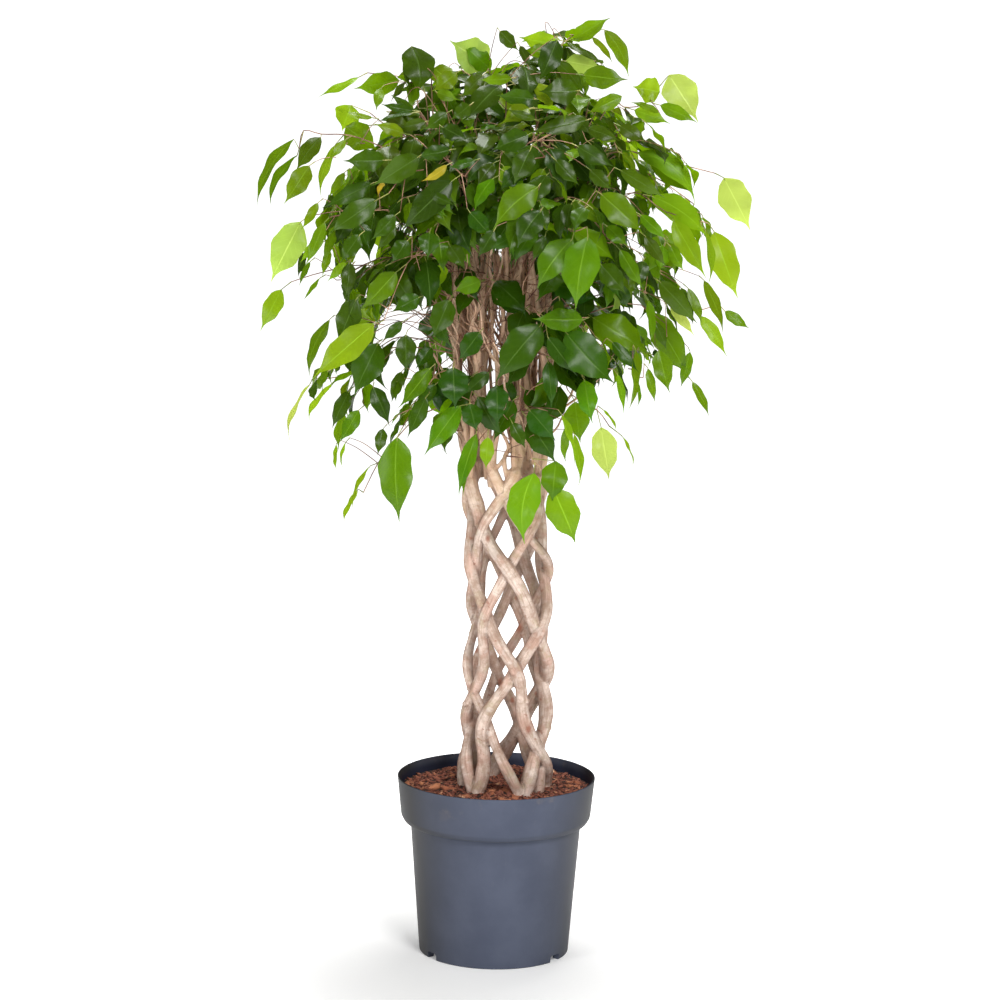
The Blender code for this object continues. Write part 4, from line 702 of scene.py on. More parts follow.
def bark_material():
    """Pale, fine bark: grain along each stem, faint rings across it, painted shade in its creases and brown
    scars.
    """
    material, nodes = new_material("fig_bark")
    grain = nodes.mark("grain", "Vector")
    crease, shut, inside, knot = [nodes.mark(name) for name in ("crease", "shut", "inside", "knot")]
    place = nodes.place()
    height = place.part("Z")
    fibre = nodes.noise(nodes.drawn_out(grain, (300.0, 300.0, 20.0)), 1.0, 5.0, 0.65)
    rings = nodes.noise(nodes.drawn_out(grain, (60.0, 60.0, 560.0)), 1.0, 3.0, 0.55)
    cloud = nodes.noise(place, 70.0, 5.0, 0.68)
    patch = nodes.noise(place, 36.0, 3.0, 0.5)
    stain = nodes.noise(place, 58.0, 4.0, 0.6)
    scar = nodes.noise(place, 110.0, 2.0, 0.5)
    moss = nodes.noise(place, 44.0, 3.0, 0.6)
    # Where pale grey patches of painted highlight lie
    pale_grey_highlight = nodes.noise(place, 64.0, 2.0, 0.5)
    # The share of the painted shade in shut-in hollows: less on the upper wood
    low = 1.0 - height.ramp(0.66, 0.74) * 0.7
    colour = nodes.over(
        nodes.blend(cloud.ramp(0.32, 0.66), (0.410, 0.290, 0.225), (0.730, 0.600, 0.520)),
        (patch.ramp(0.46, 0.62) * 0.60, (0.540, 0.320, 0.250)),
        (moss.ramp(0.52, 0.68) * 0.60, (0.400, 0.325, 0.200)),
        (stain.ramp(0.54, 0.68) * 0.62, (0.300, 0.165, 0.115)),
        (fibre.ramp(0.40, 0.68) * 0.66, (0.280, 0.170, 0.118)),
        # Pale grey patches at random: painted highlight
        (pale_grey_highlight.ramp(0.56, 0.70) * 0.34, (0.700, 0.630, 0.575)),
        (rings.ramp(0.60, 0.70) * 0.30, (0.270, 0.150, 0.105)),
        # The upper wood's redder bark, made lighter as painted light where the crown shades it
        (height.ramp(0.58, 0.72) * 0.58, (0.730, 0.440, 0.270)),
        # Painted shade on the sides that face the trunk's inside
        (inside * 0.35, (0.260, 0.150, 0.105)),
        (scar.ramp(0.66, 0.73) * 0.6, (0.260, 0.090, 0.050)),
        (knot.ramp(0.0, 0.80) * 0.80, (0.270, 0.085, 0.045)),
        # Painted shade towards each stem's outline
        (nodes.edge().ramp(0.25, 0.85) * 0.50, (0.230, 0.120, 0.080)),
        # Painted shade in hollows shut in by other wood
        (shut.ramp(0.25, 0.90) * 0.54 * low, (0.120, 0.056, 0.036)),
        # Painted shade in the creases where stems meet
        (crease.ramp(0.06, 0.62) * 0.74, (0.055, 0.026, 0.016)),
    )
    bump = nodes.bump(0.8, 0.0020, fibre * 0.9 + rings * 0.5 + cloud * 0.8 + knot * 0.5)
    nodes.show(nodes.skin(colour, 0.55 + cloud * 0.25, {"Normal": bump, "IOR": 1.4}))
    return material


def cloudy_material(name, scale, low, high, first, second, rough):
    """Two colours that drift into each other, for twigs and stalks."""
    material, nodes = new_material(name)
    cloud = nodes.noise(nodes.place(), scale, 2.0)
    colour = nodes.blend(cloud.ramp(low, high), first, second)
    nodes.show(nodes.skin(colour, rough, {"IOR": 1.4}))
    return material


def leaf_material(name, dark, light, through, share):
    """A glossy blade with a pale midrib and faint side veins, which lets some light through."""
    material, nodes = new_material(name)
    blade = nodes.add("ShaderNodeUVMap", {"uv_map": "blade"}, {})
    look = nodes.add("ShaderNodeUVMap", {"uv_map": "look"}, {})
    place = nodes.place()
    from_rib = (blade.part("X") - 0.5).size() * 2.0
    rib = 1.0 - from_rib.ramp(0.015, 0.06)
    cloud = nodes.noise(place, 55.0, 3.0)
    veins = ((blade.part("Y") * 9.0 - from_rib * 2.2) * math.tau).sine().ramp(0.80, 1.0)
    veins = veins * from_rib.ramp(0.05, 0.2) * (1.0 - from_rib.ramp(0.7, 0.95))
    colour = nodes.blend(look.part("Y") * 0.7 + cloud * 0.3, dark, light)
    # The leaf's warmth, painted light, makes it redder and so yellower
    colour = colour.vector("MULTIPLY", nodes.vector(0.50 + look.part("X") * 1.15, 1.0, 1.0))
    pale = tuple(min(1.0, 1.9 * c + 0.03) for c in light)
    colour = nodes.blend(rib * 0.45 + veins * 0.07, colour, pale)
    relief = from_rib.ramp(0.0, 0.16) * 0.5 + nodes.noise(place, 32.0, 0.0) * 0.8
    others = {"Normal": nodes.bump(0.35, 0.0009, relief), "IOR": 1.46, "Specular IOR Level": 0.20}
    face = nodes.skin(colour, 0.20 + cloud * 0.18, others)
    glow = nodes.add("ShaderNodeBsdfTranslucent", {}, {"Color": (*through, 1)})
    amount = share + (look.part("Y") - 0.5) * 0.1 - rib * 0.1
    nodes.show(nodes.add("ShaderNodeMixShader", {}, {0: amount, 1: face, 2: glow}))
    return material


# Shapes, as the solids are made


def curve_shares(u):
    """What a smooth span's start, start slope, end and end slope count for at a share u of it."""
    return 2 * u**3 - 3 * u**2 + 1, u**3 - 2 * u**2 + u, 3 * u**2 - 2 * u**3, u**3 - u**2


def between(x, xs, ys):
    """The value at x of a smooth curve through given points."""
    last = len(xs) - 1
    if x <= xs[0]:
        return ys[0]
    if x >= xs[last]:
        return ys[last]
    i = max(k for k in range(last) if xs[k] <= x)
    start, end = ys[i], ys[i + 1]
    slope_in = (end - ys[max(i - 1, 0)]) / 2
    slope_out = (ys[min(i + 2, last)] - start) / 2
    a, b, c, d = curve_shares((x - xs[i]) / (xs[i + 1] - xs[i]))
    return a * start + b * slope_in + c * end + d * slope_out


def eased(x, low, high):
    u = min(max((x - low) / (high - low), 0.0), 1.0)
    return u * u * (3 - 2 * u)


def outward(angle):
    """The level direction at an angle in degrees from the front."""
    return Vector((math.sin(math.radians(angle)), -math.cos(math.radians(angle)), 0.0))


def trunk_axis(z):
    return Vector((between(z, LEAN_HEIGHTS, LEAN), 0.0, z))


def from_axis(point):
    """The level way from the trunk's middle to a point."""
    return point - trunk_axis(point.z)


def angle_of(away):
    """The angle of a level direction in degrees from the front."""
    return math.degrees(math.atan2(away.x, -away.y))


def upright(z):
    return Vector((0, 0, z))


def faces_out(points, faces):
    """The shape with its faces turned outwards."""
    volume = sum(points[a].dot(points[b].cross(points[c])) for a, b, c in faces)
    return (points, faces) if volume > 0 else (points, [face[::-1] for face in faces])


def tube(points, radii, sides, first_axis=None, pointed=False):
    """A closed tube of triangles along points. A pointed one ends in its last point."""
    count = len(points)
    tangents = [
        (points[min(i + 1, count - 1)] - points[max(i - 1, 0)]).normalized() for i in range(count)
    ]
    if first_axis:
        tangents[0] = first_axis.normalized()
    normal = tangents[0].orthogonal().normalized()
    corners, faces = [], []
    rings = count - 1 if pointed else count
    for i in range(rings):
        if i:
            normal = (tangents[i - 1].rotation_difference(tangents[i]) @ normal).normalized()
        across = tangents[i].cross(normal)
        for k in range(sides):
            turn = 2 * math.pi * k / sides
            corners.append(points[i] + (normal * math.cos(turn) + across * math.sin(turn)) * radii[i])
    for i in range(rings - 1):
        for k in range(sides):
            a, b = i * sides + k, i * sides + (k + 1) % sides
            faces += [(a, b, b + sides), (a, b + sides, a + sides)]
    faces += [(0, k + 1, k) for k in range(1, sides - 1)]
    end = (rings - 1) * sides
    if pointed:
        corners.append(points[-1])
        faces += [(end + k, end + (k + 1) % sides, len(corners) - 1) for k in range(sides)]
    else:
        faces += [(end, end + k, end + k + 1) for k in range(1, sides - 1)]
    return faces_out(corners, faces)


def turned(profile, sides):
    """A closed body of revolution. The profile runs up the outside and back down, axis to axis."""
    points, faces, rings = [], [], []
    for radius, z in profile:
        if radius == 0:
            rings.append([len(points)] * sides)
            points.append(upright(z))
            continue
        rings.append([len(points) + k for k in range(sides)])
        for k in range(sides):
            points.append(outward(360 * k / sides) * radius + upright(z))
    for low, high in zip(rings, rings[1:]):
        for k in range(sides):
            j = (k + 1) % sides
            pair = ((low[k], low[j], high[j]), (low[k], high[j], high[k]))
            faces += [corners for corners in pair if len(set(corners)) == 3]
    return faces_out(points, faces)


def stem_angle(way, index, z):
    """Where round the trunk a stem is at a height, in degrees."""
    depth = FRONT_CROSSING - max(z, SOIL_LINE)
    even = 360 / STEMS_EACH_WAY * index + way * 360 * depth / WEAVE_PITCH
    return even + between(max(z, SOIL_LINE), LEAD_HEIGHTS, LEADS[way][index])


def stem_point(way, index, z):
    row = WEAVE_PITCH / (2 * STEMS_EACH_WAY)
    lift = WEAVE_LIFT * way * math.cos(math.pi * (z - FRONT_CROSSING) / row)
    lift *= eased(z, *WEAVE_FOOT) * (1 - eased(z, *WEAVE_END))
    radius = WEAVE_RADIUS + lift + FOOT_SPREAD * (1 - eased(z, SOIL_LINE, FOOT_SPREAD_TOP))
    return trunk_axis(z) + outward(stem_angle(way, index, z)) * radius


def stem_thickness(way, index, z):
    row = WEAVE_PITCH / (2 * STEMS_EACH_WAY)
    knot = math.cos(math.pi * (z - FRONT_CROSSING) / row) ** 2
    swell = 1 + KNOT_SWELL * knot + FOOT_SWELL * (1 - eased(z, SOIL_LINE, FOOT_SWELL_TOP))
    swell += HEAD_SWELL * eased(z, *HEAD_SWELL_HEIGHTS)
    return STEM_RADII[way][index] * swell


def stem_heights(step):
    steps = round((STEM_TOP - STEM_FOOT) / step)
    return [STEM_FOOT + (STEM_TOP - STEM_FOOT) * i / steps for i in range(steps + 1)]


def stem_path(way, index):
    heights = stem_heights(STEM_STEP)
    radii = [stem_thickness(way, index, z) for z in heights]
    radii[-1] *= HEAD_NARROWING
    return [stem_point(way, index, z) for z in heights], radii


def leader_path(way, index, k, number, steps):
    """One upright branch, from inside its stem's head up into the crown."""
    chance = random.Random(SEED * 1000 + number)
    foot_angle = stem_angle(way, index, STEM_TOP)
    own_angle = foot_angle + (k - (LEADERS_EACH_STEM - 1) / 2) * LEADER_SPREAD
    own_angle += chance.uniform(-LEADER_SCATTER, LEADER_SCATTER)
    share = (number * GOLDEN_SHARE) % 1
    end = LEADER_LOWEST_END + (LEADER_HIGHEST_END - LEADER_LOWEST_END) * share
    foot = STEM_TOP - LEADER_SINK
    sway = chance.uniform(-LEADER_SWAY, LEADER_SWAY)
    points, radii = [], []
    for i in range(steps + 1):
        u = (i / steps) ** 1.15
        z = foot + (end - foot) * u
        angle = foot_angle + (own_angle - foot_angle) * eased(z, foot, foot + LEADER_PARTING)
        angle += sway * math.sin(5 * u)
        reach = between(z, LEADER_HEIGHTS, LEADER_REACH)
        points.append(trunk_axis(z) + outward(angle) * reach)
        radii.append(LEADER_RADIUS + (LEADER_END_RADIUS - LEADER_RADIUS) * u)
    return points, radii


def all_leaders(steps=LEADER_STEPS):
    each = [(way, index, k) for way, index in STEMS for k in range(LEADERS_EACH_STEM)]
    return [leader_path(*own, number, steps) for number, own in enumerate(each)]


def wood_shapes():
    """Every stem and leader as a closed tube."""
    shapes = [tube(*stem_path(way, index), STEM_SIDES) for way, index in STEMS]
    return shapes + [tube(path, radii, LEADER_SIDES) for path, radii in all_leaders()]


class Leaf:
    """One leaf: the point of the twig that it grows from, and its blade's place, directions and size."""

    def __init__(self, node, base, ahead, face, length, width, curl):
        self.node = node
        self.base = base
        self.ahead = ahead.normalized()
        self.face = (face - self.ahead * face.dot(self.ahead)).normalized()
        self.side = self.ahead.cross(self.face)
        self.length = length
        self.width = width
        self.curl = curl
        self.tone = None
        self.shown = None
        self.bow = 0.0

    def rib(self, t):
        """The point of the midrib at a share t of the blade's length."""
        drop = self.curl * self.length * t * t
        return self.base + self.ahead * (self.length * t) - self.face * drop


def blade_shape(leaf, stations, thickness, grow=0.0, stalk=True):
    """The blade as the solids have it: folded and waved, thickest at its midrib."""
    points = []
    if stalk:
        along = (leaf.base - leaf.node).normalized()
        across = along.cross(leaf.face)
        across = across.normalized() if across.length > 0.2 else leaf.side
        down = along.cross(across)
        thin = STALK_RADIUS * 0.7 + grow
        points += [leaf.node + across * thin, leaf.node - across * thin, leaf.node + down * thin]
    thick = STALK_RADIUS + grow
    points += [leaf.base + leaf.side * thick, leaf.base - leaf.side * thick, leaf.base - leaf.face * thick]
    first = len(points) - 3
    faces = [(0, 2, 1)]
    if stalk:
        for i in range(3):
            j = (i + 1) % 3
            faces += [(i, j, j + 3), (i, j + 3, i + 3)]
    for number, (t, share) in enumerate(stations):
        middle = leaf.rib(t)
        half = leaf.width / 2 * share + grow
        rise = half * BLADE_FOLD
        wave = BLADE_WAVE * half * (1 if number % 2 else -1)
        points += [
            middle + leaf.side * half + leaf.face * (rise + wave),
            middle + leaf.face * (thickness / 2 + grow),
            middle - leaf.side * half + leaf.face * (rise - wave),
            middle - leaf.face * (thickness / 2 + grow),
        ]
    left, right, below = first, first + 1, first + 2
    left_2, top_2, right_2, below_2 = range(first + 3, first + 7)
    faces += [(left, right, top_2), (left, top_2, left_2), (right, right_2, top_2)]
    faces += [(right, below, below_2), (right, below_2, right_2)]
    faces += [(below, left, left_2), (below, left_2, below_2)]
    start = first + 3
    for _ in stations[1:]:
        la, ta, ra, ba = range(start, start + 4)
        lb, tb, rb, bb = range(start + 4, start + 8)
        faces += [(la, ta, tb), (la, tb, lb), (ta, ra, tb), (ra, rb, tb)]
        faces += [(ra, ba, bb), (ra, bb, rb), (ba, la, bb), (la, lb, bb)]
        start += 4
    points.append(leaf.rib(1.0) + leaf.ahead * grow)
    tip = len(points) - 1
    faces += [(start + i, start + (i + 1) % 4, tip) for i in range(4)]
    return faces_out(points, faces)


class Crown:
    """What already grows, so that nothing new grows through it."""

    def __init__(self):
        self.things = []

    @staticmethod
    def boxed(shape):
        points, faces = shape
        low = [min(p[i] for p in points) for i in range(3)]
        high = [max(p[i] for p in points) for i in range(3)]
        return BVHTree.FromPolygons(points, faces), low, high

    def add(self, shape):
        self.things.append(self.boxed(shape))

    def is_clear(self, shape, leave_out=None):
        tree, low, high = self.boxed(shape)
        for thing in self.things:
            other, other_low, other_high = thing
            apart = any(low[i] > other_high[i] or high[i] < other_low[i] for i in range(3))
            if thing is not leave_out and not apart and tree.overlap(other):
                return False
        return True


class Spray:
    """A twig and its leaves."""

    def __init__(self, name, path, leaves):
        self.name = name
        self.path = path
        self.leaves = leaves


def smooth_path(points, steps):
    """Points of a smooth curve through these, with so many steps in each span."""
    path = [points[0]]
    for i, count in enumerate(steps):
        before, start = points[max(i - 1, 0)], points[i]
        end, after = points[i + 1], points[min(i + 2, len(points) - 1)]
        for k in range(1, count + 1):
            a, b, c, d = curve_shares(k / count)
            path.append(start * a + (end - before) * (b / 2) + end * c + (after - start) * (d / 2))
    return path


def twig_radii(count):
    return [TWIG_RADIUS + (TWIG_END_RADIUS - TWIG_RADIUS) * i / (count - 1) for i in range(count)]


def runs_through_itself(points, faces):
    """Whether two faces that share no corner cross."""
    tree = BVHTree.FromPolygons(points, faces)
    return any(not set(faces[a]) & set(faces[b]) for a, b in tree.overlap(tree))


def roots_near(leaders, wood, angle, height):
    """Places on the leaders' outer sides near an angle and a height, the nearest first."""
    found = []
    for path, _ in leaders:
        for rise in (0.0, -0.025, 0.025, -0.05, 0.05, -0.09):
            z = height + rise
            if not path[0].z + 0.04 < z < path[-1].z - 0.012:
                continue
            i = max(k for k in range(len(path) - 1) if path[k].z <= z)
            centre = path[i].lerp(path[i + 1], (z - path[i].z) / (path[i + 1].z - path[i].z))
            turn = (angle_of(centre - trunk_axis(z)) - angle + 180) % 360 - 180
            if abs(turn) > 50:
                continue
            direction = outward(angle + turn * 0.5)
            hit, normal, _, _ = wood.ray_cast(centre + direction * 0.05, -direction)
            if hit and normal.dot(direction) > 0.5 and (hit - centre).length < 0.02:
                found.append((abs(turn) + 600 * abs(rise), hit, normal))
    found.sort(key=lambda root: root[0])
    return [(hit, normal) for _, hit, normal in found]


def grow_twig(crown, leaders, wood, targets, end_turn, height, arch, spans, room=CLEARANCE, thin=1.0):
    """A twig from a leader through its targets, clear of all else: its points and shape, or None."""
    target = targets[0]
    for hit, normal in roots_near(leaders, wood, angle_of(from_axis(target)), height)[:14]:
        start = hit + normal * TWIG_GAP
        knee = start + normal * KNEE_REACH + upright(KNEE_RISE)
        for lift in (arch, arch + 0.10, arch - 0.08, arch + 0.2):
            middle = knee.lerp(target, 0.5)
            middle.z += lift * (target - knee).length
            last = targets[-1] + end_turn
            path = smooth_path([start, knee, middle, *targets, last], spans)
            radii = [radius * thin for radius in twig_radii(len(path))]
            shape = tube(path, radii, TWIG_SIDES, first_axis=normal, pointed=True)
            wide = tube(path[1:], [r + room for r in radii[1:]], TWIG_SIDES, pointed=True)
            if BVHTree.FromPolygons(*shape).overlap(wood) or runs_through_itself(*shape):
                continue
            if crown.is_clear(wide) and crown.is_clear(shape):
                return path, shape
    return None


def leaf_is_clear(crown, leaf, stations, own_twig, room):
    wide = blade_shape(leaf, stations, BLADE_THICKNESS, room, stalk=False)
    if not crown.is_clear(wide):
        return False
    return crown.is_clear(blade_shape(leaf, stations, BLADE_THICKNESS, room / 2), own_twig)


def add_leaf(crown, leaf, own_twig, room=CLEARANCE):
    """Adds a leaf if it is clear of all else, and says whether it was."""
    stations = MORE_STATIONS if leaf.length > LONG_LEAF else FEW_STATIONS
    if not leaf_is_clear(crown, leaf, stations, own_twig, room):
        return False
    crown.add(blade_shape(leaf, stations, BLADE_THICKNESS))
    return True


def seen_leaf(chance, node, base, tip, shift):
    """A leaf between two places that show. What doesn't show of its length leans outwards."""
    base = base + Vector((0, shift, 0))
    ahead = tip - base
    ahead.y = 0
    shown = ahead.length
    length = max(shown, LEAF_LENGTH[0])
    ahead.y = -math.sqrt(length**2 - shown**2) * (1 if base.y < 0.03 else -1)
    away = outward(0 if base.y < 0.03 else 180)
    face = away + Vector((chance.uniform(-0.4, 0.4), 0, 0.35))
    width = length * chance.uniform(*LEAF_SLENDERNESS) * (0.9 if length > 0.09 else 1.0)
    return Leaf(node, base, ahead, face, length, width, chance.uniform(0.04, 0.12))


def ways_at(path, i):
    """The ways along and across a twig at one of its points."""
    along = (path[min(i + 1, len(path) - 1)] - path[i - 1]).normalized()
    across = along.cross(upright(1))
    return along, across.normalized() if across.length > 0.2 else along.orthogonal().normalized()


def rule_leaf(chance, path, i, turn):
    """A leaf that hangs from a twig, to the left or to the right of it."""
    node = path[i]
    along, across = ways_at(path, i)
    fall = chance.uniform(0.35, 1.0)
    ahead = along * chance.uniform(0.3, 0.7) + across * (turn * chance.uniform(0.35, 0.8))
    ahead += upright(-fall)
    face = from_axis(node).normalized() * 0.8 + upright(0.8) + across * chance.uniform(-0.4, 0.4)
    length = chance.uniform(*LEAF_LENGTH) * 0.92
    width = length * chance.uniform(*LEAF_SLENDERNESS)
    stalk = (ahead.normalized() + across * turn * 0.6).normalized() * STALK_LENGTH
    return Leaf(node, node + stalk, ahead, face, length, width, chance.uniform(0.06, 0.22))


def add_rule_leaves(chance, crown, path, places, own_twig):
    leaves = []
    for number, i in enumerate(places):
        turn = 1 if number % 2 else -1
        for attempt in range(14):
            leaf = rule_leaf(chance, path, i, turn if attempt % 2 == 0 else -turn)
            if add_leaf(crown, leaf, own_twig):
                leaves.append(leaf)
                break
    return leaves


def root_height(z):
    """Twigs that end low start higher up and hang, and those that end high start lower down."""
    return 0.72 + (z - 0.62) * 0.62


def seen_spray(chance, crown, leaders, wood, name, depth, leaves):
    """A spray whose large leaves have their places."""
    places = []
    for x0, z0, x1, z1 in leaves:
        base, tip = Vector((x0 * CM, depth * CM, z0 * CM)), Vector((x1 * CM, depth * CM, z1 * CM))
        inwards = (trunk_axis(base.z) - base).normalized() * 0.005 + upright(0.002)
        places.append((base + inwards - (tip - base).normalized() * 0.008, base, tip))
    targets = [node for node, _, _ in places]
    end_turn = (targets[-1] - trunk_axis(targets[-1].z)).normalized() * 0.010
    spans = [1, 2, 2] + [1] * len(targets)
    grown = grow_twig(crown, leaders, wood, targets, end_turn, root_height(targets[0].z), 0.15, spans)
    if not grown:
        return None
    path, twig = grown
    crown.add(twig)
    own = crown.things[-1]
    grown_leaves = []
    for number, (_, base, tip) in enumerate(places):
        node = path[5 + number]
        for shift in (0, -0.008, 0.008, -0.016, 0.016, -0.026, 0.026):
            leaf = seen_leaf(chance, node, base, tip, shift)
            if add_leaf(crown, leaf, own):
                leaf.tone = SEEN_TONES[name][number]
                leaf.shown = SHOWN[name][number]
                grown_leaves.append(leaf)
                break
    grown_leaves += add_rule_leaves(chance, crown, path, (4, 3, 2), own)
    return Spray("spray_" + name, path, grown_leaves)


def rule_spray(chance, crown, leaders, wood, name, height, reach, angle):
    """A spray of the tiers, or None where it finds no room."""
    for attempt in range(12):
        own_angle = angle + chance.uniform(-12, 12) * (1 + attempt * 0.4)
        own_reach = reach * chance.uniform(0.82, 1.06)
        end = trunk_axis(height) + outward(own_angle) * own_reach
        end.z += chance.uniform(-0.03, 0.03)
        turn = outward(own_angle) * 0.015 + upright(-0.018)
        grown = grow_twig(crown, leaders, wood, [end], turn, root_height(height), 0.22, RULE_SPANS)
        if not grown:
            continue
        path, twig = grown
        crown.add(twig)
        own = crown.things[-1]
        return Spray(name, path, add_rule_leaves(chance, crown, path, (6, 5, 4, 3, 2, 6), own))
    return None


def on_sight_line(x, z, depth):
    """The point at a depth that shows where a place of the middle plane, in cm, does."""
    return EYE + (Vector((x * CM, 0, z * CM)) - EYE) * ((depth + EYE_DISTANCE) / EYE_DISTANCE)


def on_middle_plane(point):
    """Where a point shows on the middle plane, in m."""
    return EYE + (point - EYE) * (EYE_DISTANCE / (point.y + EYE_DISTANCE))


def lay_leaf(leaf, shown, depth):
    """Gives a leaf the base, the tip and the width that show. A narrow one is turned about its midrib."""
    x0, z0, x1, z1, width, _, leaf.bow = shown
    leaf.base, tip = on_sight_line(x0, z0, depth), on_sight_line(x1, z1, depth)
    ahead = tip - leaf.base
    span = ahead.length
    leaf.length = max(span * 1.03, LEAST_LENGTH)
    ahead.y -= math.sqrt(leaf.length**2 - span**2)
    leaf.ahead = ahead.normalized()
    leaf.width = max(width * CM, LEAST_SHARE * leaf.length)
    face = EYE - leaf.base
    face = (face - leaf.ahead * face.dot(leaf.ahead)).normalized()
    turn = math.acos(min(width * CM / leaf.width, 1.0))
    turns = [Matrix.Rotation(way * turn, 3, leaf.ahead) @ face for way in (1, -1)]
    leaf.face = max(turns, key=lambda turned_face: turned_face.z)
    leaf.side = leaf.ahead.cross(leaf.face)


class Front:
    """What must show from the front: leaves, and openings that nothing may cover."""

    SPOTS = [(t, out) for t in (0.0, 0.15, 0.3, 0.45, 0.6, 0.8, 1.0) for out in (-0.85, 0.0, 0.85)]

    def __init__(self, leaves=()):
        self.rows = np.zeros((0, 7))
        for leaf in leaves:
            base, tip = on_middle_plane(leaf.base), on_middle_plane(leaf.rib(1))
            half = max(leaf.shown[4] * CM / 2 if leaf.shown else leaf.width * 0.4, 0.002)
            self.add(base, tip, half, max(leaf.base.y, leaf.rib(1).y))

    def add(self, start, end, half, depth):
        x, z = end.x - start.x, end.z - start.z
        long = max(math.hypot(x, z), 0.001)
        self.rows = np.vstack([self.rows, (start.x, start.z, x / long, z / long, long, half, depth)])

    def hidden_by(self, leaf):
        """Which of them a leaf would hide."""
        points = [leaf.rib(t) + leaf.side * (leaf.width / 2 * out * SPAN[t]) for t, out in self.SPOTS]
        flat = np.array([(p.x, p.z) for p in map(on_middle_plane, points)])
        near = np.array([p.y for p in points])[:, None]
        x, z, along_x, along_z, long, wide, depth = self.rows.T
        away_x, away_z = flat[:, :1] - x, flat[:, 1:] - z
        u = (away_x * along_x + away_z * along_z) / long
        v = (away_z * along_x - away_x * along_z) / wide
        return ((((u - 0.47) / 0.53) ** 2 + v**2 < 1) & (near < depth + 0.004)).any(0)


def within_outline(point):
    flat = on_middle_plane(point) / CM
    inside = False
    for (x0, z0), (x1, z1) in zip(OUTLINE, OUTLINE[1:] + OUTLINE[:1]):
        if (z0 > flat.z) != (z1 > flat.z) and flat.x < x0 + (x1 - x0) * (flat.z - z0) / (z1 - z0):
            inside = not inside
    return inside


def in_opening(point):
    flat = on_middle_plane(point) / CM
    return any(((flat.x - x) / wide) ** 2 + ((flat.z - z) / high) ** 2 < 0.9 for x, z, wide, high in OPENINGS)


def make_way(sprays, front):
    """Sets leaves further in on their twigs until they keep within the crown, draws those that hide others
    back until they don't, and leaves out those that still would."""
    for spray in sprays:
        kept = []
        for leaf in spray.leaves:
            places = [i for i, point in enumerate(spray.path) if point == leaf.node]
            if not leaf.shown and places:
                for i in range(places[0], max(places[0] - 3, 1), -1):
                    if within_outline(leaf.base) and within_outline(leaf.rib(1)):
                        break
                    leaf.base = leaf.base + spray.path[i - 1] - leaf.node
                    leaf.node = spray.path[i - 1]
            if not leaf.shown:
                away = (leaf.base - EYE).normalized() * 0.01
                for _ in range(3):
                    if front.hidden_by(leaf).any():
                        leaf.base = leaf.base + away
            if leaf.shown or not front.hidden_by(leaf).any():
                kept.append(leaf)
        spray.leaves = kept


def front_depth(x, z):
    """How far back the crown's front lies at a place of the middle plane, in cm."""
    half = between(z * CM, REACH_HEIGHTS, FILL_REACH) * 1.15
    return -between(z * CM, FRONT_HEIGHTS, FRONT_REACH) * math.sqrt(max(0.03, 1 - (x * CM / half) ** 2))


def more_leaves(crown, sprays, limbs):
    """The other leaves that show, each on a side twig from the nearest wood that lies further in."""
    spots = [p for spray in sprays for p in smooth_path(spray.path, [4] * (len(spray.path) - 1))]
    spots += [p for path, _ in limbs for p in path[4:]]
    tree = KDTree(len(spots))
    for i, spot in enumerate(spots):
        tree.insert(spot, i)
    tree.balance()
    others = [leaf for spray in sprays for leaf in spray.leaves if not leaf.shown]
    grown = []
    for number, (*shown, tone) in enumerate(MORE_LEAVES):
        leaf = Leaf(Vector(), Vector(), upright(1), Vector((1, 0, 0)), 0.05, 0.02, 0.06)
        leaf.shown, leaf.tone = shown, tone
        depth = front_depth(shown[0], shown[1]) + shown[5] * CM
        lay_leaf(leaf, shown, depth)
        front = Front([leaf])
        nearer = [min(other.base.y, other.rib(1).y) for other in others if front.hidden_by(other)[0]]
        if nearer:
            depth = max(min([depth, *nearer]) - 0.006, depth - 0.08, NEAREST)
        for shift in (0, -0.006, 0.006, -0.012, 0.012, -0.02, 0.02, 0):
            lay_leaf(leaf, shown, depth + shift)
            if leaf_is_clear(crown, leaf, FEW_STATIONS, None, FILL_ROOM):
                break
        inwards = (trunk_axis(leaf.base.z) - leaf.base).normalized()
        leaf.node = leaf.base - leaf.ahead * 0.006 + inwards * 0.004
        own = from_axis(leaf.node).xy.length
        found = [spots[i] for _, i, gap in tree.find_n(leaf.node, 80) if gap > 0.012]
        near = [spot for spot in found if from_axis(spot).xy.length < own - 0.004]
        ways = []
        for root in near[:16] or [spots[tree.find(leaf.node)[1]]]:
            middle = root.lerp(leaf.node, 0.55) + upright(0.05 * (leaf.node - root).length)
            ways.append(smooth_path([root, middle, leaf.node], [4, 4]))
        path = min(ways, key=lambda way: sum(in_opening(p) for p in way))
        crown.add(blade_shape(leaf, FEW_STATIONS, BLADE_THICKNESS))
        grown.append(Spray(f"fill_shown_{number}", path, [leaf]))
    return grown


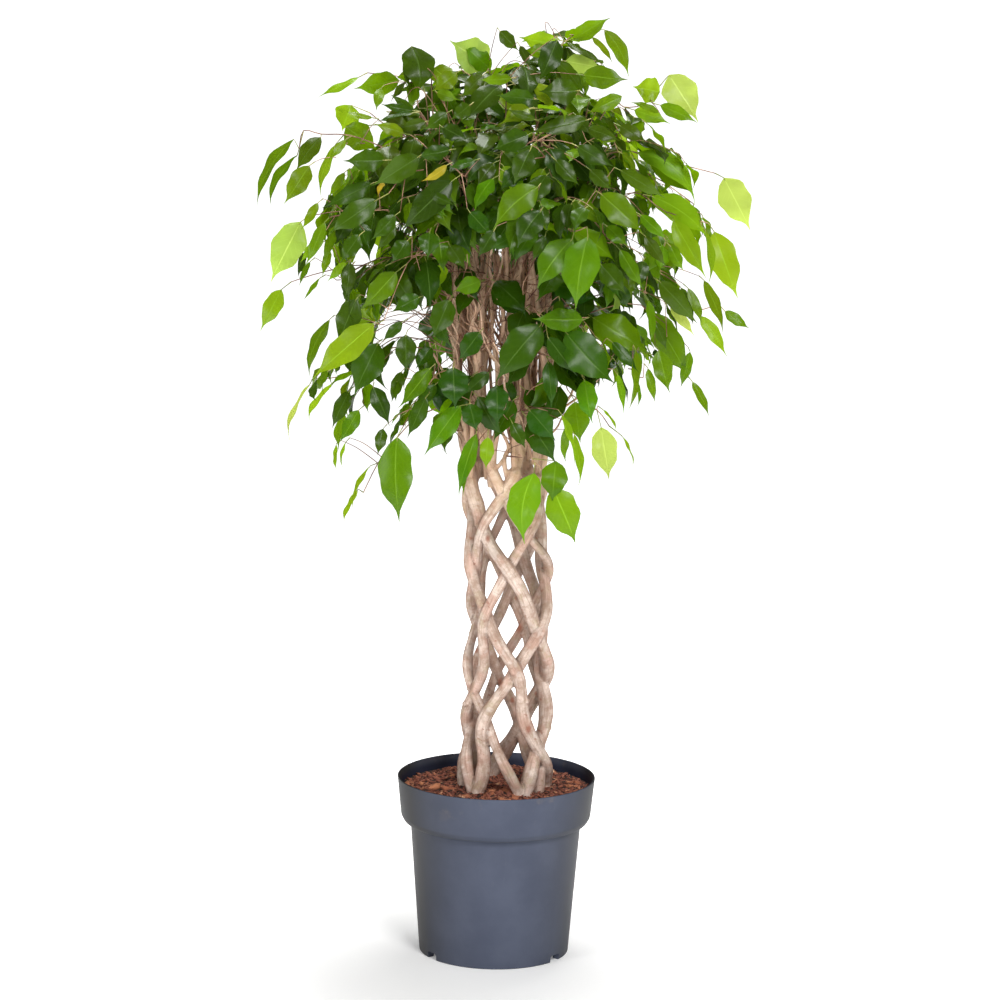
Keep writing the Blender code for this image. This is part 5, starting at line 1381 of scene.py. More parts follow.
def fill_leaf(chance, path, i, turn, lengths):
    """A smaller leaf. Those of the crest stand up, and the others hang."""
    node = path[i]
    along, across = ways_at(path, i)
    high = eased(node.z, 1.10, 1.22)
    fall = chance.uniform(0.1, 1.0) * (1 - high) + chance.uniform(-0.7, 0.4) * high
    ahead = along * chance.uniform(0.3, 0.8) + across * (turn * chance.uniform(0.3, 0.9))
    ahead += upright(-fall)
    away = from_axis(node)
    face = away.normalized() * chance.uniform(0.2, 0.9) + upright(0.8)
    face += across * chance.uniform(-0.7, 0.7)
    length = chance.uniform(*lengths)
    width = length * chance.uniform(*LEAF_SLENDERNESS) * 1.02
    stalk = (ahead.normalized() + across * turn * 0.6).normalized() * chance.uniform(0.006, 0.011)
    leaf = Leaf(node, node + stalk, ahead, face, length, width, chance.uniform(0.08, 0.42))
    # Painted shade: the nearer the trunk, the deeper the green
    reach = away.length / between(node.z, REACH_HEIGHTS, FILL_REACH)
    leaf.tone = min(max(chance.gauss(0.05 + 0.34 * min(reach, 1.1), 0.16), 0.0), 0.9)
    return leaf


def strays(leaf, front):
    """Whether a leaf would show outside the crown, between the upright branches or before another leaf."""
    side, height = GAP_BEHIND
    ends = (leaf.base, leaf.rib(1))
    if leaf.base.y > 0.0 and any(abs(p.x) < side and p.z < height for p in ends):
        return True
    edges = [leaf.rib(0.4) + leaf.side * (out * leaf.width) for out in (-0.4, 0.4)]
    return not all(within_outline(p) for p in (*ends, *edges)) or front.hidden_by(leaf).any()


def fill_spray(chance, crown, leaders, wood, kind, number, front):
    """A fine twig with smaller leaves, or None where it finds no room."""
    name, count, shares, lengths, places, (lowest, highest) = kind
    rise = between((number + 0.5) / count, FILL_SHARES, FILL_RISE)
    height = lowest + (highest - lowest) * rise
    for attempt in range(8):
        angle = (number * 137.5 + chance.uniform(-15, 15) * (1 + attempt) + 180) % 360 - 180
        if height < 1.0 and abs(angle) < OPEN_FRONT:
            angle += math.copysign(OPEN_FRONT, angle)
        reach = between(height, REACH_HEIGHTS, FILL_REACH) * chance.uniform(*shares)
        end = trunk_axis(height) + outward(angle) * max(reach, 0.07)
        end.z += chance.uniform(-0.03, 0.03)
        turn = outward(angle) * 0.02 + upright(-0.02)
        root = root_height(height) + chance.uniform(-0.05, 0.05)
        grown = grow_twig(crown, leaders, wood, [end], turn, root, 0.18, FILL_SPANS, FILL_ROOM, 0.6)
        if not grown:
            continue
        path, twig = grown
        if attempt < 5 and sum(in_opening(p) for p in path) > 3:
            continue
        crown.add(twig)
        own = crown.things[-1]
        leaves = []
        for i in range(places[1], places[0] - 1, -1):
            for k in range(12):
                turn = 1 if (i + k) % 2 else -1
                leaf = fill_leaf(chance, path, min(i, len(path) - 1), turn, lengths)
                if not strays(leaf, front) and add_leaf(crown, leaf, own, FILL_ROOM):
                    leaves.append(leaf)
                    break
        return Spray(f"fill_{name}_{number}", path, leaves)
    return None


def all_sprays(limbs):
    """The sprays of the solids, and the finer ones between them."""
    leaders = all_leaders()
    shape = joined(wood_shapes())
    wood = BVHTree.FromPolygons(*shape)
    crown = Crown()
    crown.add(shape)
    chance = random.Random(SEED)
    sprays = [seen_spray(chance, crown, leaders, wood, *row) for row in SEEN_SPRAYS]
    for name, count, height, reach, first in TIERS:
        for i in range(count):
            angle = first + 360 * i / count
            if height < 1.0 and abs((angle + 180) % 360 - 180) < OPEN_FRONT:
                angle += OPEN_FRONT
            node = f"spray_{name}_{i + 1}"
            sprays.append(rule_spray(chance, crown, leaders, wood, node, height, reach, angle))
    sprays = [spray for spray in sprays if spray]
    shown = [leaf for spray in sprays for leaf in spray.leaves if leaf.shown]
    for leaf in shown:
        lay_leaf(leaf, leaf.shown, leaf.base.y - leaf.shown[5] * CM)
        crown.add(blade_shape(leaf, MORE_STATIONS, BLADE_THICKNESS))
    make_way(sprays, Front(shown))
    sprays += more_leaves(crown, sprays, limbs)
    front = Front([leaf for spray in sprays for leaf in spray.leaves if leaf.shown])
    for x, z, wide, high in OPENINGS:
        top, foot = Vector((x, 0, z + high)) * CM, Vector((x, 0, z - high)) * CM
        front.add(top, foot, wide * CM, 10.0)
    kinds = [(kind, number) for kind in FILLS for number in range(kind[1])]
    sprays += [fill_spray(chance, crown, leaders, wood, *kind, front) for kind in kinds]
    return [spray for spray in sprays if spray]


# Making pieces


def plain_object(name, data, material=None):
    """An object of a mesh, a lamp or a camera, put into the scene."""
    thing = bpy.data.objects.new(name, data)
    bpy.context.scene.collection.objects.link(thing)
    if material:
        data.materials.clear()
        data.materials.append(material)
    return thing


def mesh_of(name, points, faces, edges=()):
    mesh = bpy.data.meshes.new(name)
    mesh.from_pydata([tuple(p) for p in points], edges, faces)
    mesh.update()
    return mesh


def store(mesh, name, values, kind="FLOAT"):
    """Stores a number, or the three of a vector, for each point of a mesh."""
    slot = "value" if kind == "FLOAT" else "vector"
    mesh.attributes.new(name, kind, "POINT").data.foreach_set(slot, values)


def joined(shapes):
    points, faces = [], []
    for shape_points, shape_faces in shapes:
        faces += [tuple(len(points) + i for i in face) for face in shape_faces]
        points += shape_points
    return points, faces


def evaluated_mesh(thing):
    graph = bpy.context.evaluated_depsgraph_get()
    return bpy.data.meshes.new_from_object(thing.evaluated_get(graph), depsgraph=graph)


def remove(thing):
    mesh = thing.data
    bpy.data.objects.remove(thing, do_unlink=True)
    bpy.data.meshes.remove(mesh)


def made_by_nodes(name, carrier, tree, values):
    """The plain mesh that a tree makes from a carrier mesh, as a piece."""
    helper = plain_object(name + "_carrier", carrier)
    modifier = helper.modifiers.new("Make", "NODES")
    modifier.node_group = tree
    for item in tree.interface.items_tree:
        if item.item_type == "SOCKET" and item.in_out == "INPUT" and item.name in values:
            modifier[item.identifier] = values[item.name]
    helper.update_tag()
    mesh = evaluated_mesh(helper)
    mesh.name = name
    remove(helper)
    return plain_object(name, mesh)


def new_tree(name, inputs):
    """A tree of geometry nodes with its named inputs: its nodes, its group input and its group output."""
    tree = bpy.data.node_groups.new(name, "GeometryNodeTree")
    tree.interface.new_socket("Geometry", in_out="INPUT", socket_type="NodeSocketGeometry")
    for socket_name, kind in inputs:
        tree.interface.new_socket(socket_name, in_out="INPUT", socket_type="NodeSocket" + kind)
    tree.interface.new_socket("Geometry", in_out="OUTPUT", socket_type="NodeSocketGeometry")
    nodes = Nodes(tree)
    start = tree.nodes.new("NodeGroupInput")
    end = tree.nodes.new("NodeGroupOutput")
    return nodes, {name: Value(nodes, start.outputs[name]) for name in ["Geometry", *dict(inputs)]}, end


def named(nodes, name, kind="FLOAT"):
    return nodes.add("GeometryNodeInputNamedAttribute", {"data_type": kind}, {"Name": name})


def stored(nodes, geometry, name, value, kind="FLOAT", domain="POINT"):
    settings = {"data_type": kind, "domain": domain}
    inputs = {"Geometry": geometry, "Name": name, "Value": value}
    return nodes.add("GeometryNodeStoreNamedAttribute", settings, inputs)


def compared(nodes, operation, first, second):
    return nodes.add("FunctionNodeCompare", {"operation": operation}, {0: first, 1: second})


def finish_tree(nodes, geometry, material, end):
    geometry = nodes.add("GeometryNodeRealizeInstances", {}, {0: geometry})
    geometry = nodes.add("GeometryNodeSetShadeSmooth", {}, {0: geometry, "Shade Smooth": True})
    geometry = nodes.add("GeometryNodeSetMaterial", {}, {0: geometry, "Material": material})
    nodes.tree.links.new(geometry.socket, end.inputs[0])


def branch_tree():
    """Round wood along the edges of a mesh, as thick as its points say."""
    nodes, start, end = new_tree("Branches", (("Sides", "Int"), ("Bark", "Material")))
    curve = nodes.add("GeometryNodeMeshToCurve", {}, {0: start["Geometry"]})
    ring = nodes.add("GeometryNodeCurvePrimitiveCircle", {}, {"Resolution": start["Sides"], "Radius": 1.0})
    inputs = {"Curve": curve, "Profile Curve": ring, "Scale": named(nodes, "thick"), "Fill Caps": True}
    wood = nodes.add("GeometryNodeCurveToMesh", {}, inputs)
    finish_tree(nodes, wood, start["Bark"], end)
    return nodes.tree


def branches(name, tree, paths, sides, material):
    """One piece of round wood along several paths of points and radii."""
    points, edges, radii = [], [], []
    for path, thick in paths:
        edges += [(len(points) + i, len(points) + i + 1) for i in range(len(path) - 1)]
        points += path
        radii += thick
    carrier = mesh_of(name, points, [], edges)
    store(carrier, "thick", radii)
    return made_by_nodes(name, carrier, tree, {"Sides": sides, "Bark": material})


def leaf_tree(kinds):
    """A blade at each point, which holds its directions, its size and its form. Its tone sets its kind."""
    nodes, start, end = new_tree("Leaves", (("Across", "Int"), ("Along", "Int"), ("Wave", "Float")))
    grid = {"Size X": 2.0, "Size Y": 1.0, "Vertices X": start["Across"], "Vertices Y": start["Along"]}
    grid = nodes.add("GeometryNodeMeshGrid", {}, grid)
    place = nodes.add("GeometryNodeInputPosition", {}, {})
    grid = stored(nodes, grid, "spot", place, "FLOAT_VECTOR")
    points = stored(nodes, start["Geometry"], "base", place, "FLOAT_VECTOR")
    blades = nodes.add("GeometryNodeInstanceOnPoints", {}, {"Points": points, "Instance": grid})
    blades = nodes.add("GeometryNodeRealizeInstances", {}, {0: blades})
    vectors = ("spot", "size", "form", "cup", "ahead", "face", "base")
    spot, size, form, cup, ahead, face, where = [named(nodes, name, "FLOAT_VECTOR") for name in vectors]
    across, along = spot.part("X"), spot.part("Y") + 0.5
    length, width, curl = [size.part(axis) for axis in "XYZ"]
    twist, phase, droop = [form.part(axis) for axis in "XYZ"]
    fold, arch, bend_aside = [cup.part(axis) for axis in "XYZ"]
    side = ahead.vector("CROSS_PRODUCT", face)
    outline = nodes.add("ShaderNodeFloatCurve", {"curve": BLADE_OUTLINE}, {"Value": along})
    bend = nodes.add("ShaderNodeFloatCurve", {"curve": TIP_DROOP}, {"Value": along})
    half = width * 0.5 * outline
    out = across.size()
    rise = half * (out * fold - out * out * arch)
    rise = rise + half * start["Wave"] * out * ((along * 13.0 + phase + across * 1.1).sine())
    rise = rise + half * across * twist * along
    rise = rise - length * curl * along * along - length * droop * bend
    wobble = 1.0 + ((along * 19.0 + phase * 2.0 + across * 1.7).sine()) * start["Wave"] * 0.45
    sideways = half * across * wobble + length * named(nodes, "bow") * 4.0 * along * (1.0 - along)
    sideways = sideways + length * bend_aside * (along * along * 0.5 + bend)
    forward = length * along * (1.0 - curl * curl * 0.6 * along) - length * droop * bend * 0.4
    where = where.vector("ADD", ahead.vector("SCALE", forward))
    where = where.vector("ADD", side.vector("SCALE", sideways))
    where = where.vector("ADD", face.vector("SCALE", rise))
    blades = nodes.add("GeometryNodeSetPosition", {}, {"Geometry": blades, "Position": where})
    flat = nodes.vector(across * 0.5 + 0.5, along, 0.0)
    blades = stored(nodes, blades, "blade", flat, "FLOAT2", "CORNER")
    look = nodes.vector(named(nodes, "warm"), named(nodes, "own"), 0.0)
    blades = stored(nodes, blades, "look", look, "FLOAT2", "CORNER")
    blades = nodes.add("GeometryNodeSetShadeSmooth", {}, {0: blades, "Shade Smooth": True})
    least = -1.0
    for most, material in kinds:
        chosen = (named(nodes, "tone") - (least + most) / 2).size()
        chosen = compared(nodes, "LESS_THAN", chosen, (most - least) / 2)
        inputs = {0: blades, "Selection": chosen, "Material": material}
        blades = nodes.add("GeometryNodeSetMaterial", {}, inputs)
        least = most
    nodes.tree.links.new(blades.socket, end.inputs[0])
    return nodes.tree


def outness(leaf, middle, half):
    """How far out of the crown a leaf shows: 0 in its middle, 1 at its edge."""
    return math.hypot(leaf.base.x / CROWN_HALF_WIDTH, (leaf.base.z - middle) / half)


def warmth(chance, leaf):
    """How yellow a leaf is, as painted light: the outer and the upper ones are more so than those further in.
    """
    out = outness(leaf, WARMTH_MIDDLE, WARMTH_HALF)
    warm = min(max(0.04 + 0.72 * out + chance.gauss(0, 0.14), 0.0), 0.95)
    return warm * 0.6 if leaf.tone > 0.88 else warm


def drawn(chance, *ranges):
    """A random number from each range."""
    return [chance.uniform(*each) for each in ranges]


def leaves_piece(name, tree, leaves, chance):
    """One piece of many leaves. Each leaf's form and look are stored at its point."""
    carrier = mesh_of(name, [leaf.base for leaf in leaves], [])
    forms = [drawn(chance, (-0.7, 0.7), (0, math.tau), (0.04, 0.24)) for _ in leaves]
    cups = [drawn(chance, *(SHOWN_CUP if leaf.shown else CUP)) for leaf in leaves]
    vectors = {
        "ahead": [leaf.ahead for leaf in leaves],
        "face": [leaf.face for leaf in leaves],
        "size": [(leaf.length, leaf.width, leaf.curl) for leaf in leaves],
        "form": forms,
        "cup": cups,
    }
    for attribute, rows in vectors.items():
        store(carrier, attribute, [number for row in rows for number in row], "FLOAT_VECTOR")
    numbers = {
        "tone": [leaf.tone for leaf in leaves],
        "own": [chance.random() for _ in leaves],
        "warm": [warmth(chance, leaf) for leaf in leaves],
        "bow": [leaf.bow if leaf.shown else chance.uniform(-0.05, 0.05) for leaf in leaves],
    }
    for attribute, row in numbers.items():
        store(carrier, attribute, row)
    piece = made_by_nodes(name, carrier, tree, {"Across": 5, "Along": 14, "Wave": 0.15})
    for attribute in ("spot", "base", *vectors, *numbers):
        found = piece.data.attributes.get(attribute)
        if found:
            piece.data.attributes.remove(found)
    return piece


# Pot and soil


def inner_wall(z):
    """Inner radius of the pot at a height."""
    if z > COLLAR_FOOT:
        u = (z - COLLAR_FOOT) / (POT_HEIGHT - COLLAR_FOOT)
        return COLLAR_FOOT_RADIUS + (RIM_RADIUS - COLLAR_FOOT_RADIUS) * u - WALL
    u = (z - FLOOR_TOP) / (BODY_TOP - FLOOR_TOP)
    return BASE_RADIUS + (BODY_TOP_RADIUS - BASE_RADIUS) * min(u, 1.0) - WALL


def rounded(corners, radius, steps=4):
    """A profile whose inner corners are rounded."""
    points = [Vector(corners[0])]
    for before, corner, after in zip(corners, corners[1:], corners[2:]):
        before, corner, after = Vector(before), Vector(corner), Vector(after)
        reach = min(radius, (before - corner).length * 0.45, (after - corner).length * 0.45)
        start = corner + (before - corner).normalized() * reach
        end = corner + (after - corner).normalized() * reach
        for i in range(steps + 1):
            u = i / steps
            points.append(start * (1 - u) ** 2 + corner * (2 * u * (1 - u)) + end * u**2)
    points.append(Vector(corners[-1]))
    return points


def rounded_box(centre, along, across, size, radius):
    """A level box with rounded edges, as a mesh object that cuts."""
    shape = bmesh.new()
    bmesh.ops.create_cube(shape, size=1.0)
    turn = Matrix((along, across, upright(1))).transposed().to_4x4()
    scale = Matrix.Diagonal((*size, 1.0))
    bmesh.ops.transform(shape, matrix=Matrix.Translation(centre) @ turn @ scale, verts=shape.verts)
    bmesh.ops.bevel(shape, geom=shape.edges, offset=radius, segments=3, affect="EDGES", profile=0.5)
    mesh = bpy.data.meshes.new("cutter")
    shape.to_mesh(mesh)
    shape.free()
    return plain_object("cutter", mesh)


def make_pot(material):
    ring_inside = BASE_RADIUS - FOOT_RING_WIDTH
    body = rounded(
        (
            (BASE_RADIUS - 0.004, 0.0), (BASE_RADIUS - 0.0008, 0.0), (BODY_TOP_RADIUS, BODY_TOP),
            (COLLAR_FOOT_RADIUS - 0.004, BODY_TOP + 0.0015), (COLLAR_FOOT_RADIUS, COLLAR_FOOT + 0.001),
            (RIM_RADIUS - 0.0001, POT_HEIGHT - 0.0002), (RIM_RADIUS - WALL, POT_HEIGHT),
            (inner_wall(COLLAR_FOOT + 0.0001), COLLAR_FOOT - 0.0015),
            (inner_wall(BODY_TOP), BODY_TOP - 0.0015), (inner_wall(FLOOR_TOP), FLOOR_TOP),
            (inner_wall(FLOOR_TOP) - 0.01, FLOOR_TOP),
        ),
        0.0018,
    )
    foot = (
        (0, 0), (PAD_RADIUS, 0), (PAD_RADIUS + 0.001, FLOOR_UNDERSIDE),
        (ring_inside - 0.002, FLOOR_UNDERSIDE), (ring_inside, 0),
    )
    profile = [*map(Vector, foot), *body, Vector((0, FLOOR_TOP))]
    points, faces = turned([tuple(p) for p in profile], POT_SIDES)
    pot = plain_object("pot_shell", mesh_of("pot_shell", points, faces), material)
    cutters = []
    for angle in NOTCH_ANGLES:
        away, across = outward(angle), outward(angle + 90)
        size = (0.030, NOTCH_WIDTH, 2 * NOTCH_HEIGHT)
        cutters.append(rounded_box(away * BASE_RADIUS, away, across, size, 0.0035))
    for angle in DRAIN_ANGLES:
        place = outward(angle) * DRAIN_PLACE
        ends = [place + upright(z) for z in (FLOOR_UNDERSIDE - 0.004, FLOOR_TOP + 0.004)]
        cutters.append(plain_object("cutter", mesh_of("cutter", *tube(ends, [DRAIN_RADIUS] * 2, 32))))
    for cutter in cutters:
        cut = pot.modifiers.new("Cut", "BOOLEAN")
        cut.operation, cut.object, cut.solver = "DIFFERENCE", cutter, "EXACT"
    mesh = evaluated_mesh(pot)
    remove(pot)
    for cutter in cutters:
        remove(cutter)
    pot = plain_object("pot_shell", mesh)
    mesh.name = "pot_shell"
    mesh.shade_smooth()
    mesh.set_sharp_from_angle(angle=math.radians(32))
    return pot


def soil_height(x, y):
    """The soil's surface: a low dome with lumps."""
    r = math.hypot(x, y) / inner_wall(SOIL_EDGE)
    lumps = math.sin(190 * x + 60 * y) * math.sin(170 * y - 40 * x)
    lumps += 0.6 * math.sin(310 * x - 250 * y)
    fine = math.sin(700 * x + 300 * y) * math.sin(620 * y - 410 * x)
    return SOIL_EDGE - 0.001 + SOIL_DOME * (1 - r * r) + (0.0016 * lumps + 0.0008 * fine) * (1 - r**6)


def make_soil(material):
    edge = inner_wall(SOIL_EDGE) - 2 * FIT_GAP
    rings, sides = 34, 120
    points, faces = [], []
    for i in range(rings, 0, -1):
        for k in range(sides):
            level = outward(360 * k / sides) * (edge * i / rings)
            points.append(Vector((level.x, level.y, soil_height(level.x, level.y))))
    points.append(upright(soil_height(0, 0)))
    for i in range(rings - 1):
        for k in range(sides):
            a, b = i * sides + k, i * sides + (k + 1) % sides
            faces.append((a, b, b + sides, a + sides))
    last = (rings - 1) * sides
    faces += [(last + k, last + (k + 1) % sides, len(points) - 1) for k in range(sides)]
    steps = (
        (SOIL_EDGE - 0.010, SOIL_EDGE - 0.010), (COLLAR_FOOT + 0.001, BODY_TOP),
        (BODY_TOP - 0.002, BODY_TOP - 0.002), (FLOOR_TOP + FIT_GAP, FLOOR_TOP + FIT_GAP),
    )
    above = 0
    for z, wall_height in steps:
        low = len(points)
        radius = inner_wall(wall_height) - 2 * FIT_GAP
        for k in range(sides):
            points.append(outward(360 * k / sides) * radius + upright(z))
        for k in range(sides):
            j = (k + 1) % sides
            faces.append((low + k, low + j, above + j, above + k))
        above = low
    points.append(upright(FLOOR_TOP + FIT_GAP))
    faces += [(len(points) - 1, above + (k + 1) % sides, above + k) for k in range(sides)]
    soil = plain_object("soil_body", mesh_of("soil_body", points, faces), material)
    store(soil.data, "look", [SOIL_LOOK] * len(points))
    soil.data.shade_smooth()
    return soil


def chip_tree():
    """Chips scattered over a surface, each with its own size, tilt and look."""
    numbers = ("Density", "Least", "Most", "Tilt", "Edge")
    inputs = [("Size", "Vector"), ("Seed", "Int"), ("Chip", "Material")]
    inputs += [(name, "Float") for name in numbers]
    nodes, start, end = new_tree("Chips", inputs)
    place = nodes.add("GeometryNodeInputPosition", {}, {})
    away = place.vector("MULTIPLY", (1.0, 1.0, 0.0)).vector("LENGTH", name="Value")
    up = nodes.add("GeometryNodeInputNormal", {}, {}).part("Z")
    inside = compared(nodes, "LESS_THAN", away, start["Edge"])
    level = compared(nodes, "GREATER_THAN", up, 0.3)
    keep = nodes.add("FunctionNodeBooleanMath", {"operation": "AND"}, {0: inside, 1: level})
    where = {"Mesh": start["Geometry"], "Selection": keep, "Density": start["Density"], "Seed": start["Seed"]}
    spots = nodes.add("GeometryNodeDistributePointsOnFaces", {}, where)
    shade = nodes.add("FunctionNodeRandomValue", {}, {2: 0.0, 3: 1.0, "Seed": start["Seed"]}, 1)
    spots = stored(nodes, spots, "look", shade)
    turns = {0: (-1, -1, -3.2), 1: (1, 1, 3.2)}
    tilt = nodes.add("FunctionNodeRandomValue", {"data_type": "FLOAT_VECTOR"}, turns)
    tilt = tilt.vector("MULTIPLY", nodes.vector(start["Tilt"], start["Tilt"], 1.0))
    turn = nodes.add("FunctionNodeEulerToRotation", {}, {0: tilt})
    sizes = {2: start["Least"], 3: start["Most"], "Seed": start["Seed"] + 7}
    grow = nodes.add("FunctionNodeRandomValue", {}, sizes, 1)
    cube = nodes.add("GeometryNodeMeshCube", {}, {"Size": start["Size"], "Vertices X": 4, "Vertices Y": 3})
    lump = nodes.add("ShaderNodeTexNoise", {}, {"Vector": place, "Scale": 260.0, "Detail": 2.0}, "Color")
    push = lump.vector("SUBTRACT", (0.5, 0.5, 0.5)).vector("MULTIPLY", start["Size"]).vector("SCALE", 1.1)
    cube = nodes.add("GeometryNodeSetPosition", {}, {"Geometry": cube, "Offset": push})
    inputs = {"Points": spots, "Instance": cube, "Rotation": turn, "Scale": grow}
    finish_tree(nodes, nodes.add("GeometryNodeInstanceOnPoints", {}, inputs), start["Chip"], end)
    return nodes.tree


# Woven trunk


def grain_samples(paths):
    """Points along paths, each with the frame that the bark's grain follows there."""
    samples = []
    for number, (path, radii) in enumerate(paths):
        normal, distance = None, number * 0.37
        for i, point in enumerate(path):
            tangent = (path[min(i + 1, len(path) - 1)] - path[max(i - 1, 0)]).normalized()
            if normal is None:
                normal = tangent.orthogonal().normalized()
            else:
                normal = (normal - tangent * normal.dot(tangent)).normalized()
                distance += (point - path[i - 1]).length
            samples.append((point, tangent, normal, tangent.cross(normal), distance, radii[i]))
    return samples


def mark_grain(mesh, samples):
    """Stores on a mesh where each of its points lies in the grain of its stem."""
    tree = KDTree(len(samples))
    for i, sample in enumerate(samples):
        tree.insert(sample[0], i)
    tree.balance()
    flat = []
    for vert in mesh.vertices:
        _, i, _ = tree.find(vert.co)
        point, tangent, normal, across, distance, _ = samples[i]
        away = vert.co - point
        flat += [away.dot(normal), away.dot(across), distance + away.dot(tangent)]
    store(mesh, "grain", flat, "FLOAT_VECTOR")


def smooth_creases(mesh, rounds, share):
    """Rounds the hollows where stems meet, and stores how deep each point lies in one."""
    count = len(mesh.vertices)
    places = np.empty(count * 3, np.float32)
    mesh.vertices.foreach_get("co", places)
    places = places.reshape(-1, 3).astype(np.float64)
    ends = np.empty(len(mesh.edges) * 2, np.int32)
    mesh.edges.foreach_get("vertices", ends)
    a, b = ends.reshape(-1, 2).T
    ties = np.bincount(a, minlength=count) + np.bincount(b, minlength=count)
    ties = np.maximum(ties, 1)

    def averaged(values):
        total = np.zeros_like(values)
        for i in range(values.shape[1]):
            total[:, i] = np.bincount(a, values[b, i], count) + np.bincount(b, values[a, i], count)
        return total / ties[:, None]

    normals = np.empty(count * 3, np.float32)
    mesh.vertex_normals.foreach_get("vector", normals)
    normals = normals.reshape(-1, 3).astype(np.float64)
    hollow = ((averaged(places) - places) * normals).sum(1)[:, None]
    for _ in range(6):
        hollow = averaged(hollow)
    depth = np.clip(hollow[:, 0] / CREASE_DEPTH, 0, 1)
    for _ in range(rounds):
        weight = (0.25 + 0.75 * depth[:, None]) * share
        places += (averaged(places) - places) * weight
    mesh.vertices.foreach_set("co", places.astype(np.float32).ravel())
    mesh.update()
    store(mesh, "crease", depth.astype(np.float32))


def uneven(chance, radii, amount):
    """Radii that wander a little, as grown wood does."""
    first, second, third = [chance.uniform(0, math.tau) for _ in range(3)]
    waves = [
        math.sin(i * 0.31 + first) + 0.6 * math.sin(i * 0.83 + second) + 0.4 * math.sin(i * 1.7 + third)
        for i in range(len(radii))
    ]
    return [radius * (1 + amount * wave) for radius, wave in zip(radii, waves)]


def shown_stem(chance, way, index):
    """A stem as it shows: in finer steps, and slimmer than the solid's."""
    heights = stem_heights(STEM_FINE_STEP)
    slim = [between(max(z, SOIL_LINE), LEAD_HEIGHTS, STEM_SHARES) for z in heights]
    radii = [stem_thickness(way, index, z) * share for z, share in zip(heights, slim)]
    radii[-1] *= HEAD_NARROWING
    return [stem_point(way, index, z) for z in heights], uneven(chance, radii, 0.045)


def wandering(chance, path, amount):
    """A path that wanders about its own course, more so away from its foot."""
    turns = [drawn(chance, (0, math.tau), (18, 34), (50, 80)) for _ in range(2)]
    wander = []
    for point in path:
        rise = point.z - path[0].z
        share = amount * min(rise / 0.08, 1.0)
        shifts = [
            share * (math.sin(rise * slow + phase) + 0.35 * math.sin(rise * fast + 2 * phase))
            for phase, slow, fast in turns
        ]
        wander.append(point + Vector((shifts[0], shifts[1], 0)))
    return wander


def shown_leaders(chance):
    """The upright branches as they show, as thick as grown limbs and a little bent."""
    limbs = []
    for number, (path, radii) in enumerate(all_leaders(LIMB_STEPS), 1):
        waves = [LIMB_SWELL + 0.25 * math.sin(0.4 * i + number) for i in range(len(radii))]
        swell = [radius * wave for radius, wave in zip(radii, waves)]
        limbs.append((wandering(chance, path, 0.0034), uneven(chance, swell, 0.06)))
    return limbs


def seen_limbs(chance):
    """The limbs that show above the weave."""
    limbs = []
    for places in SEEN_LIMBS:
        steps = [7] * (len(places) - 1)
        path = smooth_path([Vector((x, y, z)) * CM for x, y, z, _ in places], steps)
        thick = smooth_path([Vector((t, 0, 0)) for *_, t in places], steps)
        limbs.append((wandering(chance, path, 0.0008), uneven(chance, [t.x / 2000 for t in thick], 0.06)))
    return limbs


def main_limbs():
    return shown_leaders(random.Random(SEED + 6)) + seen_limbs(random.Random(SEED + 7))


def inner_limbs(chance, limbs, count):
    """Thinner upright branches that leave the others and run up inside the bundle."""
    grown = []
    for number in range(count):
        path, _ = limbs[number % len(limbs)]
        foot = next((p for p in path if p.z > 0.675 + 0.06 * chance.random()), path[0])
        away = from_axis(foot)
        end = foot.z + chance.uniform(0.18, 0.40)
        angle = angle_of(away)
        last, drift = chance.uniform(0.018, 0.070), chance.uniform(-60, 60)
        middle = away.length * chance.uniform(0.45, 0.85)
        points, radii = [], []
        for i in range(31):
            u = i / 30
            z = foot.z + (end - foot.z) * u
            reach = between(u, (0, 0.35, 1), (away.length, middle, last))
            points.append(trunk_axis(z) + outward(angle + drift * u) * reach)
            radii.append((0.0040 - 0.0024 * u) * (0.78 + 0.22 * math.sin(number)))
        grown.append((wandering(chance, points, 0.0035), uneven(chance, radii, 0.06)))
    return grown


def side_limbs(chance, limbs, count, lengths, radii, rise, lowest, highest):
    """Branches that leave others at random places, upwards or outwards."""
    grown = []
    for _ in range(count):
        path, thick = chance.choice(limbs)
        i = chance.randrange(2, len(path) - 1)
        if not lowest < path[i].z < highest:
            continue
        angle = angle_of(from_axis(path[i])) + chance.uniform(-75, 75)
        slope = math.radians(chance.uniform(*rise))
        heading = outward(angle) * math.cos(slope) + upright(math.sin(slope))
        length = chance.uniform(*lengths)
        bend = Vector((chance.uniform(-1, 1), chance.uniform(-1, 1), chance.uniform(-0.3, 1.2)))
        points = []
        for k in range(11):
            u = k / 10
            wave = 0.04 * length * math.sin(9 * u + i)
            point = path[i] + heading * (length * u) + bend * (0.28 * length * u * u)
            points.append(point + Vector((wave, -wave, 0)))
        first = min(chance.uniform(*radii), thick[i] * 0.85)
        grown.append((points, [first * (1 - 0.6 * k / 10) for k in range(11)]))
    return grown


